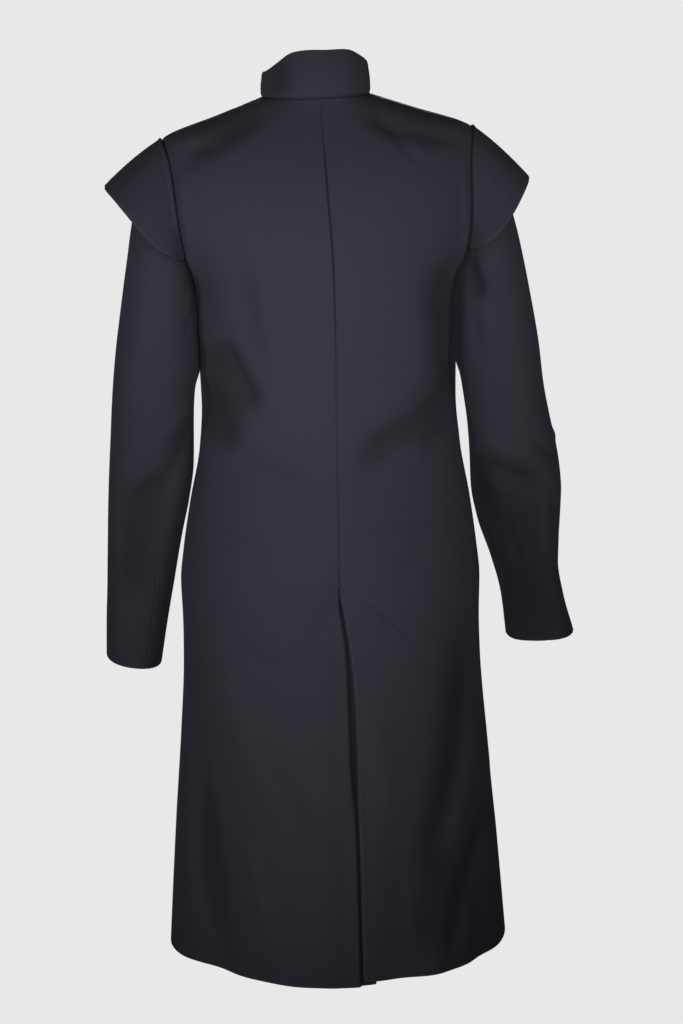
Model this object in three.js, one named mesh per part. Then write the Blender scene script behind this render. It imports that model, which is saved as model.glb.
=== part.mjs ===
// A lady's knee-length coat with a stand collar and a wing of folded cloth over each
// sleeve head, filled out as if worn. Millimetres, +Z up. The origin is the middle of the
// neck at the height of the collar seam, the front faces -Y and the wearer's left is +X.
// Each cut piece is one closed wall of cloth, and pieces stop just short of each other
// where a seam joins them.
import * as THREE from "three";

// ---- driving dimensions ---------------------------------------------------------------
const BACK_LENGTH = 1080; // collar seam to hem, down the centre back
const CLOTH = 1.8; // wool gabardine with its fused backing
const DOUBLE_CLOTH = 3.2; // two layers, turned out and pressed
const SEAM_GAP = 0.3;

const NECK = { halfWidth: 64, sideZ: -5, backDrop: 1, frontDrop: 50 };
const SHOULDER_TIP = { x: 186, z: -50 };
const UNDERARM_Z = -215;
// Heights of the hem, and how far it is lifted halfway round each back panel.
const HEM = { side: -1072, front: -1076, leftLift: 8, rightLift: -4 };
const ARMHOLE_GAP = 0.7;

// Centre-back vent: the right panel lies on top of an underlap cut onto the left panel.
const VENT = {
  top: -604,
  dipStart: -584, // the underlap starts to sink here
  underlapTop: 37,
  underlapHem: 33,
  edgeSwing: 16.5, // the top layer's edge swings this far off centre
  swungAt: -760, // and has done so by this height
  sink: 3.4, // depth of the underlap below the top layer
  sinkWidth: 26,
  lift: 7, // the top layer hangs this much shorter at its edge
};
// Centre front: the right front passes over the left, by two neckline columns each.
const FRONT_LAP = { columns: 2, sink: 2.8, sinkWidth: 24 };

const WINGS = [
  { side: 1, name: "left", reach: 87, fall: 0, end: 130 },
  { side: -1, name: "right", reach: 86, fall: 0.19, end: 130 },
];
const WING_COLUMNS = 24;
const WING_ROWS = 5;
const WING_CROWN = 4;
const SLEEVE_SINK = 2.4; // under a wing, the sleeve starts this far below the body's face
const SLEEVE_COVERED = [-0.97, -0.74]; // where that begins and is full, as cosines of the turn
// How a wing lies, round the armhole from the shoulder: its fall and its spread to the
// front or back, both over its reach sideways, and how far it is clear of the sleeve at
// the armhole seam.
const WING_LIE = [
  { turn: 0, fall: 0.79, spread: 0, clear: 1 },
  { turn: 45, fall: 0.6, spread: 0.17, clear: 1 },
  { turn: 75, fall: 0.55, spread: 0.26, clear: 1 },
  { turn: 100, fall: 0.95, spread: 0.45, clear: 1.8 },
  { turn: 110, fall: 1.1, spread: 0.8, clear: 3.2 },
  { turn: 120, fall: 1.3, spread: 1.2, clear: 4.8 },
  { turn: 135, fall: 1.5, spread: 1.7, clear: 6.6 },
];

const COLLAR = {
  stand: 1.4, // its foot stands this far outside the neckline
  footGap: 0.8,
  rise: 0.5, // and is raised by this much of its stand, over the shoulder's slope
  backHeight: 56,
  sideHeight: 32,
  frontHeight: 36,
  tilt: 3.8, // the rim is lower by this on the left side and higher on the right
  rimHalfWidth: 63,
  rimBack: 58,
  rimFront: 50,
  belly: 1.2,
  lapOffset: 2.2, // half the step between the ends where they lap
};

const NECK_COLUMNS = 6; // panel columns from the centre line to the side of the neck
const SHOULDER_COLUMNS = 8;
const YOKE_ROWS = 8; // rows between the shoulder and the underarm
const LONG_ROWS = 8; // rows between the underarm and the vent
const SKIRT_ROWS = 9; // rows beside the vent

// The body's level sections. half: half width between the side seams; back, front: depth
// from the side seams; seamY: where the side seams lie; square: 2 is an ellipse, more is
// boxier. Over the underarm, half is the width that the section would have without
// armholes, and along the shoulder it is the shoulder seam itself.
const BODY_SECTIONS = [
  { z: -5, half: 64, back: 60, front: 52, seamY: 0, square: 2.1 },
  { z: -14, half: 89, back: 62, front: 53, seamY: 0, square: 2.1 },
  { z: -23.5, half: 116, back: 66, front: 56, seamY: 0, square: 2.15 },
  { z: -50, half: 186, back: 79, front: 64, seamY: 0, square: 2.2 },
  { z: -72, half: 197, back: 90, front: 75, seamY: 0, square: 2.2 },
  { z: -100, half: 200, back: 101, front: 88, seamY: 0, square: 2.2 },
  { z: -131, half: 198, back: 109, front: 100, seamY: 0, square: 2.2 },
  { z: -163, half: 189, back: 114, front: 109, seamY: 0, square: 2.2 },
  { z: -190, half: 177, back: 116, front: 114, seamY: 0, square: 2.2 },
  { z: -208, half: 165.5, back: 117, front: 117, seamY: 0, square: 2.2 },
  { z: -215, half: 161.5, back: 117, front: 118, seamY: 0, square: 2.2 },
  { z: -228, half: 158.8, back: 116, front: 119.5, seamY: 0, square: 2.2 },
  { z: -255, half: 157.5, back: 114, front: 121, seamY: 0, square: 2.2 },
  { z: -320, half: 158, back: 106, front: 115, seamY: 0, square: 2.2 },
  { z: -375, half: 157, back: 99, front: 108, seamY: 0, square: 2.2 },
  { z: -430, half: 161, back: 100, front: 106, seamY: 0, square: 2.2 },
  { z: -500, half: 174, back: 113, front: 107, seamY: 0, square: 2.2 },
  { z: -560, half: 183, back: 124, front: 108, seamY: 0, square: 2.2 },
  { z: -600, half: 187, back: 128, front: 110, seamY: 0, square: 2.2 },
  { z: -650, half: 186, back: 130, front: 112, seamY: 0, square: 2.2 },
  { z: -700, half: 187, back: 131, front: 114, seamY: 2, square: 2.15 },
  { z: -800, half: 194, back: 137, front: 120, seamY: 4, square: 2.1 },
  { z: -900, half: 203, back: 145, front: 127, seamY: 6, square: 2.05 },
  { z: -1000, half: 211, back: 154, front: 134, seamY: 8, square: 2 },
  { z: -1080, half: 217, back: 161, front: 140, seamY: 10, square: 2 },
];

// The armhole seam's distance from the centre, from the underarm up to the shoulder.
const ARMHOLE = [
  { z: -215, x: 161.5 },
  { z: -208, x: 163.2 },
  { z: -190, x: 169.5 },
  { z: -163, x: 173.5 },
  { z: -131, x: 175.5 },
  { z: -100, x: 177 },
  { z: -72, x: 180.5 },
  { z: -50, x: 186 },
];

// The coat hangs a little to one side, as on someone standing at ease, with the left
// shoulder lower than the right by this share of the distance between them.
const SHOULDER_TILT = { share: 0.018, from: -330, full: -60 };
const STANCE = [
  { z: 0, x: 0 },
  { z: -100, x: -2.5 },
  { z: -200, x: -7 },
  { z: -300, x: -8.5 },
  { z: -400, x: -9 },
  { z: -600, x: -6 },
  { z: -1080, x: -6 },
];

// Sections of the sleeves from the armhole (v 0) to the cuff. in and out are the two rails
// beside the body and away from it, deep is half the depth front to back, midY the middle
// of that depth, and bend how far the section tips forward, in degrees. The upper part is
// the same on both sides, and the forearms are bent a little differently.
const UPPER_SLEEVE = [
  { v: 0, inX: 161.5, inZ: -215, outX: 186, outZ: -50, deep: 53, midY: 3, bend: 0 },
  { v: 1, inX: 160.6, inZ: -222, outX: 204, outZ: -74, deep: 52.5, midY: 3, bend: 0 },
  { v: 2, inX: 159.6, inZ: -233, outX: 218, outZ: -110, deep: 53, midY: 3, bend: 0 },
  { v: 3, inX: 159.4, inZ: -248, outX: 230, outZ: -152, deep: 54, midY: 3, bend: 0 },
  { v: 4, inX: 159.4, inZ: -270, outX: 240, outZ: -200, deep: 55, midY: 3, bend: 0 },
  { v: 5, inX: 159.4, inZ: -300, outX: 250, outZ: -255, deep: 55, midY: 3, bend: 0 },
  { v: 6, inX: 159.8, inZ: -330, outX: 259, outZ: -310, deep: 55, midY: 3, bend: 0 },
];
const SLEEVES = [
  {
    side: 1,
    name: "left",
    hindarmAtCuff: 112,
    sections: [
      ...UPPER_SLEEVE,
      { v: 7, inX: 165, inZ: -365, outX: 265.5, outZ: -365, deep: 54, midY: 2, bend: 1 },
      { v: 8, inX: 167, inZ: -410, outX: 269.5, outZ: -415, deep: 53, midY: 0, bend: 3 },
      { v: 9, inX: 168, inZ: -450, outX: 272.5, outZ: -460, deep: 52, midY: -5, bend: 5 },
      { v: 10, inX: 173.5, inZ: -493, outX: 274.5, outZ: -505, deep: 51, midY: -12, bend: 6 },
      { v: 11, inX: 182.5, inZ: -540, outX: 276, outZ: -553, deep: 50, midY: -22, bend: 6 },
      { v: 12, inX: 192, inZ: -595, outX: 278, outZ: -604, deep: 49, midY: -34, bend: 5 },
      { v: 13, inX: 203, inZ: -655, outX: 281, outZ: -655, deep: 48, midY: -46, bend: 4 },
      { v: 14, inX: 213, inZ: -715, outX: 283, outZ: -704, deep: 47, midY: -57, bend: 3 },
    ],
  },
  {
    side: -1,
    name: "right",
    hindarmAtCuff: 86,
    sections: [
      ...UPPER_SLEEVE,
      { v: 7, inX: 165, inZ: -365, outX: 265, outZ: -362, deep: 54, midY: 2, bend: 1 },
      { v: 8, inX: 171, inZ: -408, outX: 275, outZ: -412, deep: 53, midY: 0, bend: 4 },
      { v: 9, inX: 175, inZ: -450, outX: 286, outZ: -458, deep: 52, midY: -5, bend: 7 },
      { v: 10, inX: 178.5, inZ: -495, outX: 292, outZ: -504, deep: 50, midY: -13, bend: 8 },
      { v: 11, inX: 189, inZ: -540, outX: 293, outZ: -550, deep: 48, midY: -24, bend: 8 },
      { v: 12, inX: 208, inZ: -592, outX: 294, outZ: -598, deep: 46, midY: -36, bend: 7 },
      { v: 13, inX: 223, inZ: -645, outX: 303, outZ: -646, deep: 44, midY: -47, bend: 6 },
      { v: 14, inX: 231, inZ: -702, outX: 318, outZ: -697, deep: 43, midY: -57, bend: 5 },
    ],
  },
];
const SLEEVE_SQUARE = 2.25;
const SLEEVE_END = 14;
const ARMHOLE_FADE = 3.6; // by this section the sleeve has left the armhole's own outline
const SLEEVE_COLUMNS = { top: 12, under: 8 };
const HINDARM_AT_ARMHOLE = 106; // the sleeve's back seam, in degrees from the shoulder
const FOREARM_SEAM = -114;
const SLEEVE_SEAM_GAP_AT_ARMHOLE = 0.7; // wider, because the cloth twists there

// The body's largest folds, each a soft trough (depth < 0) or ridge that grows from one
// place to another; x runs to the wearer's left and width is the reach to either side.
const FOLDS = [
  { face: 1, x0: 146, z0: -690, x1: 168, z1: -1080, width: 27, depth: -11 },
  { face: 1, x0: 122, z0: -690, x1: 70, z1: -1080, width: 30, depth: 5 },
  { face: 1, x0: -66, z0: -700, x1: -66, z1: -1080, width: 24, depth: -5 },
  { face: 1, x0: -126, z0: -740, x1: -108, z1: -1080, width: 24, depth: 5 },
  { face: 1, x0: -164, z0: -760, x1: -176, z1: -1080, width: 17, depth: -6 },
  { face: -1, x0: 84, z0: -640, x1: 96, z1: -1080, width: 26, depth: -5 },
  { face: -1, x0: 140, z0: -700, x1: 152, z1: -1080, width: 22, depth: 4 },
  { face: -1, x0: -88, z0: -660, x1: -102, z1: -1080, width: 26, depth: -5 },
  { face: -1, x0: -142, z0: -700, x1: -150, z1: -1080, width: 22, depth: 5 },
];

const FOLDS_END = [0.88, 1]; // as shares of the way to the side seam

const COAT_CLOTH = new THREE.MeshStandardMaterial({
  name: "coat_gabardine",
  color: 0x2b2a33,
  roughness: 0.85,
  metalness: 0,
});

// ---- helpers --------------------------------------------------------------------------
const radians = THREE.MathUtils.degToRad;
const lerp = THREE.MathUtils.lerp;
const smooth = THREE.MathUtils.smoothstep;
const vector = (x, y, z) => new THREE.Vector3(x, y, z);

// A smooth curve through one column of a table, without overshoot between the rows.
function curve(rows, along, column) {
  const sorted = [...rows].sort((a, b) => a[along] - b[along]);
  const at = sorted.map((row) => row[along]);
  const value = sorted.map((row) => row[column]);
  const rise = at.slice(1).map((a, i) => (value[i + 1] - value[i]) / (a - at[i]));
  const slope = value.map((_, i) => {
    const before = rise[Math.max(i - 1, 0)];
    const after = rise[Math.min(i, rise.length - 1)];
    return before * after <= 0 ? 0 : (2 * before * after) / (before + after);
  });
  return (x) => {
    const last = at.length - 1;
    if (x <= at[0]) return value[0] + slope[0] * (x - at[0]);
    if (x >= at[last]) return value[last] + slope[last] * (x - at[last]);
    const i = at.findIndex((a) => a > x) - 1;
    const width = at[i + 1] - at[i];
    const f = (x - at[i]) / width;
    return (
      value[i] * (1 + 2 * f) * (1 - f) ** 2 +
      slope[i] * width * f * (1 - f) ** 2 +
      value[i + 1] * f * f * (3 - 2 * f) +
      slope[i + 1] * width * f * f * (f - 1)
    );
  };
}

const curves = (rows, along, columns) =>
  Object.fromEntries(columns.map((name) => [name, curve(rows, along, name)]));

// A closed wall from a grid of { outer, inner } points. has(row, column) leaves cells out,
// and flip turns the faces of a grid that runs the other way round.
function clothWall(grid, { has = () => true, flip = false } = {}) {
  const rows = grid.length - 1;
  const columns = grid[0].length - 1;
  const positions = grid.flat().flatMap((p) => [...p.outer.toArray(), ...p.inner.toArray()]);
  const outer = (i, j) => 2 * (i * (columns + 1) + j);
  const inner = (i, j) => outer(i, j) + 1;
  const filled = (i, j) => i >= 0 && j >= 0 && i < rows && j < columns && has(i, j);
  const index = [];
  const quad = (a, b, c, d) => index.push(...(flip ? [a, c, b, a, d, c] : [a, b, c, a, c, d]));
  for (let i = 0; i < rows; i++)
    for (let j = 0; j < columns; j++) {
      if (!filled(i, j)) continue;
      quad(outer(i, j), outer(i, j + 1), outer(i + 1, j + 1), outer(i + 1, j));
      quad(inner(i, j), inner(i + 1, j), inner(i + 1, j + 1), inner(i, j + 1));
      // Both sides' edges are split the same way, so that the edges of a seam lie parallel.
      const edges = [
        [i - 1, j, outer(i, j + 1), outer(i, j), inner(i, j), inner(i, j + 1)],
        [i, j + 1, outer(i + 1, j + 1), outer(i, j + 1), inner(i, j + 1), inner(i + 1, j + 1)],
        [i + 1, j, outer(i + 1, j), outer(i + 1, j + 1), inner(i + 1, j + 1), inner(i + 1, j)],
        [i, j - 1, outer(i + 1, j), inner(i + 1, j), inner(i, j), outer(i, j)],
      ];
      for (const [ni, nj, ...corners] of edges) if (!filled(ni, nj)) quad(...corners);
    }
  const geometry = new THREE.BufferGeometry();
  geometry.setAttribute("position", new THREE.Float32BufferAttribute(positions, 3));
  geometry.setIndex(index);
  return geometry;
}

// The way into the cloth at surface(turn, v), for a surface whose turns run from the
// shoulder (or the centre back) round to the back (or the left) and whose v runs outwards,
// and how far the surface moves, square to v, for each unit of turn.
function inward(surface, turn, v, stepV, endV) {
  const stepTurn = 0.02;
  const alongTurn = surface(turn + stepTurn, v).sub(surface(turn - stepTurn, v));
  const low = Math.max(v - stepV, 0);
  const high = Math.min(v + stepV, endV);
  const alongV = surface(turn, high).sub(surface(turn, low));
  const way = alongTurn.cross(alongV);
  const perTurn = way.length() / alongV.length() / (2 * stepTurn);
  return { way: way.normalize(), perTurn };
}

// ---- body -----------------------------------------------------------------------------
const body = curves(BODY_SECTIONS, "z", ["half", "back", "front", "seamY", "square"]);
const armholeX = curve(ARMHOLE, "z", "x");
// The height at which the body is this wide, between the neck and the shoulder tip.
function shoulderZ(x) {
  let [low, high] = [SHOULDER_TIP.z, NECK.sideZ];
  for (let i = 0; i < 40; i++) {
    const middle = (low + high) / 2;
    if (body.half(middle) > x) low = middle;
    else high = middle;
  }
  return low;
}
const depthOf = (face, z) => (face > 0 ? body.back(z) : body.front(z));
const necklineZ = (face, x) => {
  const drop = face > 0 ? NECK.backDrop : NECK.frontDrop;
  return NECK.sideZ - drop * (1 - (x / NECK.halfWidth) ** 2);
};

// The place on the back (face 1) or front (face -1) of the body at x and z.
function bodyPoint(face, x, z) {
  const n = body.square(z);
  const across = Math.min(Math.abs(x) / body.half(z), 1);
  return vector(x, body.seamY(z) + face * depthOf(face, z) * (1 - across ** n) ** (1 / n), z);
}

// The body's outward direction there: the slope of its section equation.
function bodyNormal(face, p) {
  const level = (x, y, z) => {
    const n = body.square(z);
    const inY = Math.abs(y - body.seamY(z)) / depthOf(face, z);
    return (Math.abs(x) / body.half(z)) ** n + inY ** n;
  };
  const h = 0.4;
  return vector(
    level(p.x + h, p.y, p.z) - level(p.x - h, p.y, p.z),
    level(p.x, p.y + h, p.z) - level(p.x, p.y - h, p.z),
    level(p.x, p.y, p.z + h) - level(p.x, p.y, p.z - h),
  ).normalize();
}

// How far the folds lift the cloth at a place on the front or back. They run out before
// the side seam, where front and back meet.
function foldLift(face, x, z) {
  let lift = 0;
  for (const fold of FOLDS) {
    const f = (z - fold.z0) / (fold.z1 - fold.z0);
    if (fold.face !== face || f <= 0) continue;
    const off = (x - lerp(fold.x0, fold.x1, f)) / fold.width;
    lift += fold.depth * smooth(f, 0, 0.9) * Math.exp(-off * off);
  }
  return lift * (1 - smooth(Math.abs(x) / body.half(z), ...FOLDS_END));
}

// The cloth's two faces at a place on the body, sunk by the given depth. Both stay on
// their own side of the side and shoulder seams.
function bodyWall(face, x, z, sink) {
  const p = bodyPoint(face, x, z);
  const normal = bodyNormal(face, p);
  const outer = p.clone().addScaledVector(normal, foldLift(face, x, z) - sink);
  const inner = outer.clone().addScaledVector(normal, -CLOTH);
  const seam = body.seamY(z);
  for (const q of [outer, inner]) q.y = seam + face * Math.max(face * (q.y - seam), SEAM_GAP / 2);
  return { outer, inner };
}

const COLUMNS = NECK_COLUMNS + SHOULDER_COLUMNS;
// Top edge of a panel at column j: the neckline, then the shoulder seam.
function topEdge(face, j) {
  if (j <= NECK_COLUMNS) {
    const x = NECK.halfWidth * Math.sin(((j / NECK_COLUMNS) * Math.PI) / 2);
    return { x, z: necklineZ(face, x) };
  }
  const x = lerp(NECK.halfWidth, SHOULDER_TIP.x, (j - NECK_COLUMNS) / SHOULDER_COLUMNS);
  return { x, z: shoulderZ(x) };
}

// Where column j of a panel runs at a row: 0 is the top edge, 1 the underarm, 2 the hem.
function panelPlace(face, j, row, hemZ) {
  const base = Math.sin((j / COLUMNS) * (Math.PI / 2)) ** (2 / body.square(UNDERARM_Z));
  if (row >= 1) {
    const z = lerp(UNDERARM_Z, hemZ, row - 1);
    return { x: base * body.half(z), z };
  }
  const top = topEdge(face, j);
  const up = (1 + Math.cos(row * Math.PI)) / 2;
  const z = lerp(UNDERARM_Z, top.z, up);
  const side = z > SHOULDER_TIP.z ? SHOULDER_TIP.x : armholeX(z);
  return { x: lerp(base, top.x / SHOULDER_TIP.x, up) * side, z };
}

// Rows of a panel, with two at the top of the vent.
const rowAt = (z) => 1 + (z - UNDERARM_Z) / (-BACK_LENGTH - UNDERARM_Z);
const VENT_ROW = rowAt(VENT.top);
const steps = (from, to, count) =>
  Array.from({ length: count }, (_, i) => lerp(from, to, i / count));
const ROWS = [
  ...steps(0, 1, YOKE_ROWS),
  ...steps(1, rowAt(VENT.dipStart), LONG_ROWS),
  rowAt(VENT.dipStart),
  ...steps(VENT_ROW, 2, SKIRT_ROWS),
  2,
];

// One body panel. edge(z) is where its first column runs. The lap columns go on past the
// centre line: lapX(k, z) is how far the kth runs, from row lapFrom down. sink(x, z) is how
// deep the cloth lies.
function bodyPanel({ face, side, hemCentre, hemLift, edge, lapCount, lapX, lapFrom, sink }) {
  const columns = steps(-lapCount, COLUMNS, lapCount + COLUMNS).concat(COLUMNS);
  const grid = ROWS.map((row) =>
    columns.map((column) => {
      const j = Math.max(Math.round(column), 0);
      const share = j / COLUMNS;
      const hemZ = lerp(hemCentre, HEM.side, share ** 2) + hemLift * Math.sin(share * Math.PI);
      const place = panelPlace(face, j, row, hemZ);
      const start = edge(place.z);
      let x = start + place.x * (1 - start / panelPlace(face, COLUMNS, row, hemZ).x);
      if (column < 0) {
        x = -lapX(Math.round(-column), place.z);
        if (row < 1) {
          const up = (1 + Math.cos(row * Math.PI)) / 2;
          place.z = lerp(UNDERARM_Z, necklineZ(face, x), up);
        }
      }
      return bodyWall(face, side * x, place.z, sink(x, place.z));
    }),
  );
  return clothWall(grid, {
    has: (i, j) => j >= lapCount || ROWS[i] >= lapFrom,
    flip: side * face < 0,
  });
}

const UNDERLAP_COLUMNS = 3;
const underlap = (z) => lerp(VENT.underlapHem, VENT.underlapTop, smooth(z, -BACK_LENGTH, VENT.top));
const backLeft = () =>
  bodyPanel({
    face: 1,
    side: 1,
    hemCentre: -BACK_LENGTH,
    hemLift: HEM.leftLift,
    edge: () => SEAM_GAP / 2,
    lapCount: UNDERLAP_COLUMNS,
    lapX: (k, z) => (underlap(z) * k) / UNDERLAP_COLUMNS,
    lapFrom: VENT_ROW,
    sink: (x, z) =>
      VENT.sink * (1 - smooth(x, 0, VENT.sinkWidth)) * (1 - smooth(z, VENT.top, VENT.dipStart)),
  });
const backRight = () =>
  bodyPanel({
    face: 1,
    side: -1,
    hemCentre: -BACK_LENGTH + VENT.lift,
    hemLift: HEM.rightLift,
    edge: (z) => SEAM_GAP / 2 + VENT.edgeSwing * (1 - smooth(z, VENT.swungAt, VENT.top)),
    lapCount: 0,
    lapX: () => 0,
    lapFrom: 0,
    sink: () => 0,
  });
const lapAcross = (k) => NECK.halfWidth * Math.sin(((k / NECK_COLUMNS) * Math.PI) / 2);
const FRONT_LAP_X = lapAcross(FRONT_LAP.columns);
const frontPanel = (side, sink) =>
  bodyPanel({
    face: -1,
    side,
    hemCentre: HEM.front,
    hemLift: 0,
    edge: () => 0,
    lapCount: FRONT_LAP.columns,
    lapX: lapAcross,
    lapFrom: 0,
    sink,
  });
const frontLeft = () =>
  frontPanel(
    1,
    (x) => FRONT_LAP.sink * (1 - smooth(x, FRONT_LAP_X, FRONT_LAP_X + FRONT_LAP.sinkWidth)),
  );
const frontRight = () => frontPanel(-1, () => 0);

// ---- armhole, sleeves and wings, shaped on the left and mirrored for the right ----------
// The armhole seam: turn is 0 at the shoulder, 90 degrees at the middle of the back and
// 180 degrees at the underarm.
function armholePoint(turn) {
  const z = lerp(UNDERARM_Z, SHOULDER_TIP.z, (1 + Math.cos(turn)) / 2);
  return bodyPoint(Math.sin(turn) >= 0 ? 1 : -1, armholeX(z), z);
}

// Square out of the armhole there, in the plane of its seam.
function armholeRise(turn) {
  return vector(0, 1.5 * Math.sin(turn), Math.cos(turn)).normalize();
}

function mirrored(wall, side) {
  for (const p of [wall.outer, wall.inner]) p.x *= side;
  return wall;
}

// At the armhole the wall's edge stands square to the body, so that nothing reaches in.
function wallAt(surface, turn, v, stepV, endV, thickness) {
  const outer = surface(turn, v);
  const { way } = inward(surface, turn, v, stepV, endV);
  if (v === 0) way.setX(Math.max(way.x, 0)).normalize();
  return { outer, inner: outer.clone().addScaledVector(way, thickness) };
}

// A sleeve's outer face: it starts on the armhole seam and takes up its own sections.
function sleeveSurface(sections) {
  const rails = curves(sections, "v", ["inX", "inZ", "outX", "outZ", "deep", "midY", "bend"]);
  const rounded = (t) => Math.sign(t) * Math.abs(t) ** (2 / SLEEVE_SQUARE);
  const section = (turn, v) => {
    const out = (1 + rounded(Math.cos(turn))) / 2;
    const back = rounded(Math.sin(turn)) * rails.deep(v);
    const tip = radians(rails.bend(v));
    return vector(
      ARMHOLE_GAP + lerp(rails.inX(v), rails.outX(v), out),
      rails.midY(v) + back * Math.cos(tip),
      lerp(rails.inZ(v), rails.outZ(v), out) - back * Math.sin(tip),
    );
  };
  return (turn, v) => {
    const fade = Math.max(1 - v / ARMHOLE_FADE, 0) ** 2;
    const covered = smooth(Math.cos(turn), ...SLEEVE_COVERED);
    const seam = armholePoint(turn).addScaledVector(armholeRise(turn), -SLEEVE_SINK * covered);
    seam.x += ARMHOLE_GAP;
    return section(turn, v).addScaledVector(seam.sub(section(turn, 0)), fade);
  };
}

const SLEEVE_ROWS = [0, 0.4, 1, 1.5, 2, 2.5, 3, 3.5, ...steps(4, SLEEVE_END, 14), SLEEVE_END];
function sleevePiece({ side, sections }, fromTurn, toTurn, columns) {
  const surface = sleeveSurface(sections);
  const halfGap = (turn, v) => {
    const gap = lerp(SLEEVE_SEAM_GAP_AT_ARMHOLE, SEAM_GAP, smooth(v, 0, 1));
    return gap / 2 / inward(surface, turn, v, 0.05, SLEEVE_END).perTurn;
  };
  const grid = SLEEVE_ROWS.map((v) => {
    const from = fromTurn(v) + halfGap(fromTurn(v), v);
    const to = toTurn(v) - halfGap(toTurn(v), v);
    return [...Array(columns + 1).keys()].map((j) => {
      const turn = lerp(from, to, j / columns);
      return mirrored(wallAt(surface, turn, v, 0.05, SLEEVE_END, CLOTH), side);
    });
  });
  return clothWall(grid, { flip: side > 0 });
}

// A wing runs out from the armhole seam over the sleeve head, widest at the shoulder and
// pressed thin where it runs into the seam at its ends.
const wingLie = curves(WING_LIE, "turn", ["fall", "spread", "clear"]);
function wingPiece({ side, reach, fall, end }) {
  const endTurn = radians(end);
  const shareAt = (turn) => Math.cos((Math.min(Math.abs(turn) / endTurn, 1) * Math.PI) / 2);
  const thickness = (turn) => lerp(CLOTH, DOUBLE_CLOTH, smooth(shareAt(turn), 0, 0.4));
  const surface = (turn, f) => {
    const share = shareAt(turn) ** 0.85;
    const degrees = Math.abs(THREE.MathUtils.radToDeg(turn));
    const spread = Math.sign(turn) * wingLie.spread(degrees);
    const direction = vector(1, spread, -wingLie.fall(degrees) - fall).normalize();
    const foot = wingLie.clear(degrees) + thickness(turn) - SLEEVE_SINK;
    const lift = foot + 4 * WING_CROWN * f * (1 - f) * share;
    const p = armholePoint(turn).addScaledVector(armholeRise(turn), lift);
    p.x += ARMHOLE_GAP;
    return p.addScaledVector(direction, (reach * share + 3) * f);
  };
  const grid = [...Array(WING_ROWS + 1).keys()].map((i) =>
    [...Array(WING_COLUMNS + 1).keys()].map((j) => {
      const turn = lerp(-endTurn, endTurn, j / WING_COLUMNS);
      return mirrored(wallAt(surface, turn, i / WING_ROWS, 0.05, 1, thickness(turn)), side);
    }),
  );
  return clothWall(grid, { flip: side > 0 });
}

// ---- collar ---------------------------------------------------------------------------
// A standing band on the neckline. turn is 0 at the centre back and grows to the wearer's
// left; both ends run past the centre front, the right one on top.
function collarPiece() {
  const step = Math.PI / 2 / NECK_COLUMNS;
  const lapTurn = FRONT_LAP.columns * step;
  const end = Math.PI + lapTurn;
  const rows = 4;
  const surface = (turn, f) => {
    const left = Math.sin(turn);
    const back = Math.cos(turn);
    const face = back >= 0 ? 1 : -1;
    const x = NECK.halfWidth * left;
    const foot = bodyPoint(face, x, necklineZ(face, x));
    const top = back > 0 ? COLLAR.backHeight : COLLAR.frontHeight;
    const height = lerp(COLLAR.sideHeight, top, Math.abs(back) ** 1.6);
    const rimDepth = back > 0 ? COLLAR.rimBack : COLLAR.rimFront;
    const rim = vector(
      COLLAR.rimHalfWidth * left,
      face * rimDepth * Math.abs(back) ** 0.9,
      foot.z + height - COLLAR.tilt * left,
    );
    const lapped = smooth(Math.abs(turn), Math.PI - 2 * lapTurn, Math.PI - 0.4 * lapTurn);
    const offset =
      COLLAR.stand * (1 - f) +
      COLLAR.belly * Math.sin(Math.PI * f) -
      Math.sign(turn) * COLLAR.lapOffset * lapped;
    foot.z += COLLAR.footGap + COLLAR.rise * Math.max(offset, 0);
    return foot.lerp(rim, f).addScaledVector(vector(left, back, 0), offset);
  };
  const grid = [...Array(rows + 1).keys()].map((i) =>
    steps(-end, end, Math.round((2 * end) / step))
      .concat(end)
      .map((turn) => {
        const outer = surface(turn, i / rows);
        const { way } = inward(surface, turn, i / rows, 0.05, 1);
        way.setZ(0).normalize();
        return { outer, inner: outer.clone().addScaledVector(way, DOUBLE_CLOTH) };
      }),
  );
  return clothWall(grid, { flip: true });
}

// ---- the coat -------------------------------------------------------------------------
const coat = new THREE.Group();
const stanceX = curve(STANCE, "z", "x");
function addPiece(name, geometry) {
  const place = geometry.getAttribute("position");
  for (let i = 0; i < place.count; i++) {
    const [x, z] = [place.getX(i), place.getZ(i)];
    const tilt = SHOULDER_TILT.share * smooth(z, SHOULDER_TILT.from, SHOULDER_TILT.full);
    place.setX(i, x + stanceX(z));
    place.setZ(i, z - tilt * x);
  }
  const mesh = new THREE.Mesh(geometry, COAT_CLOTH);
  mesh.name = name;
  coat.add(mesh);
}

addPiece("back_left", backLeft());
addPiece("back_right", backRight());
addPiece("front_left", frontLeft());
addPiece("front_right", frontRight());
addPiece("collar", collarPiece());
for (const wing of WINGS) addPiece(`wing_${wing.name}`, wingPiece(wing));
for (const sleeve of SLEEVES) {
  const low = (v) => lerp(HINDARM_AT_ARMHOLE, sleeve.hindarmAtCuff, smooth(v, 4, SLEEVE_END));
  const hindarm = (v) => radians(low(v));
  const forearm = () => radians(FOREARM_SEAM);
  const round = () => radians(360 + FOREARM_SEAM);
  addPiece(`top_sleeve_${sleeve.name}`, sleevePiece(sleeve, forearm, hindarm, SLEEVE_COLUMNS.top));
  addPiece(
    `under_sleeve_${sleeve.name}`,
    sleevePiece(sleeve, hindarm, round, SLEEVE_COLUMNS.under),
  );
}

export default coat;
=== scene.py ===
# A lady's coat with a stand collar and a wing over each sleeve head, dressed in wool gabardine.
# Every cut piece of cloth stands on its own solid. Shapes are worked out in millimetres and
# turned to metres when a mesh is made; the wearer's left is +X and the front faces -Y.
import math
from collections import namedtuple

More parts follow.
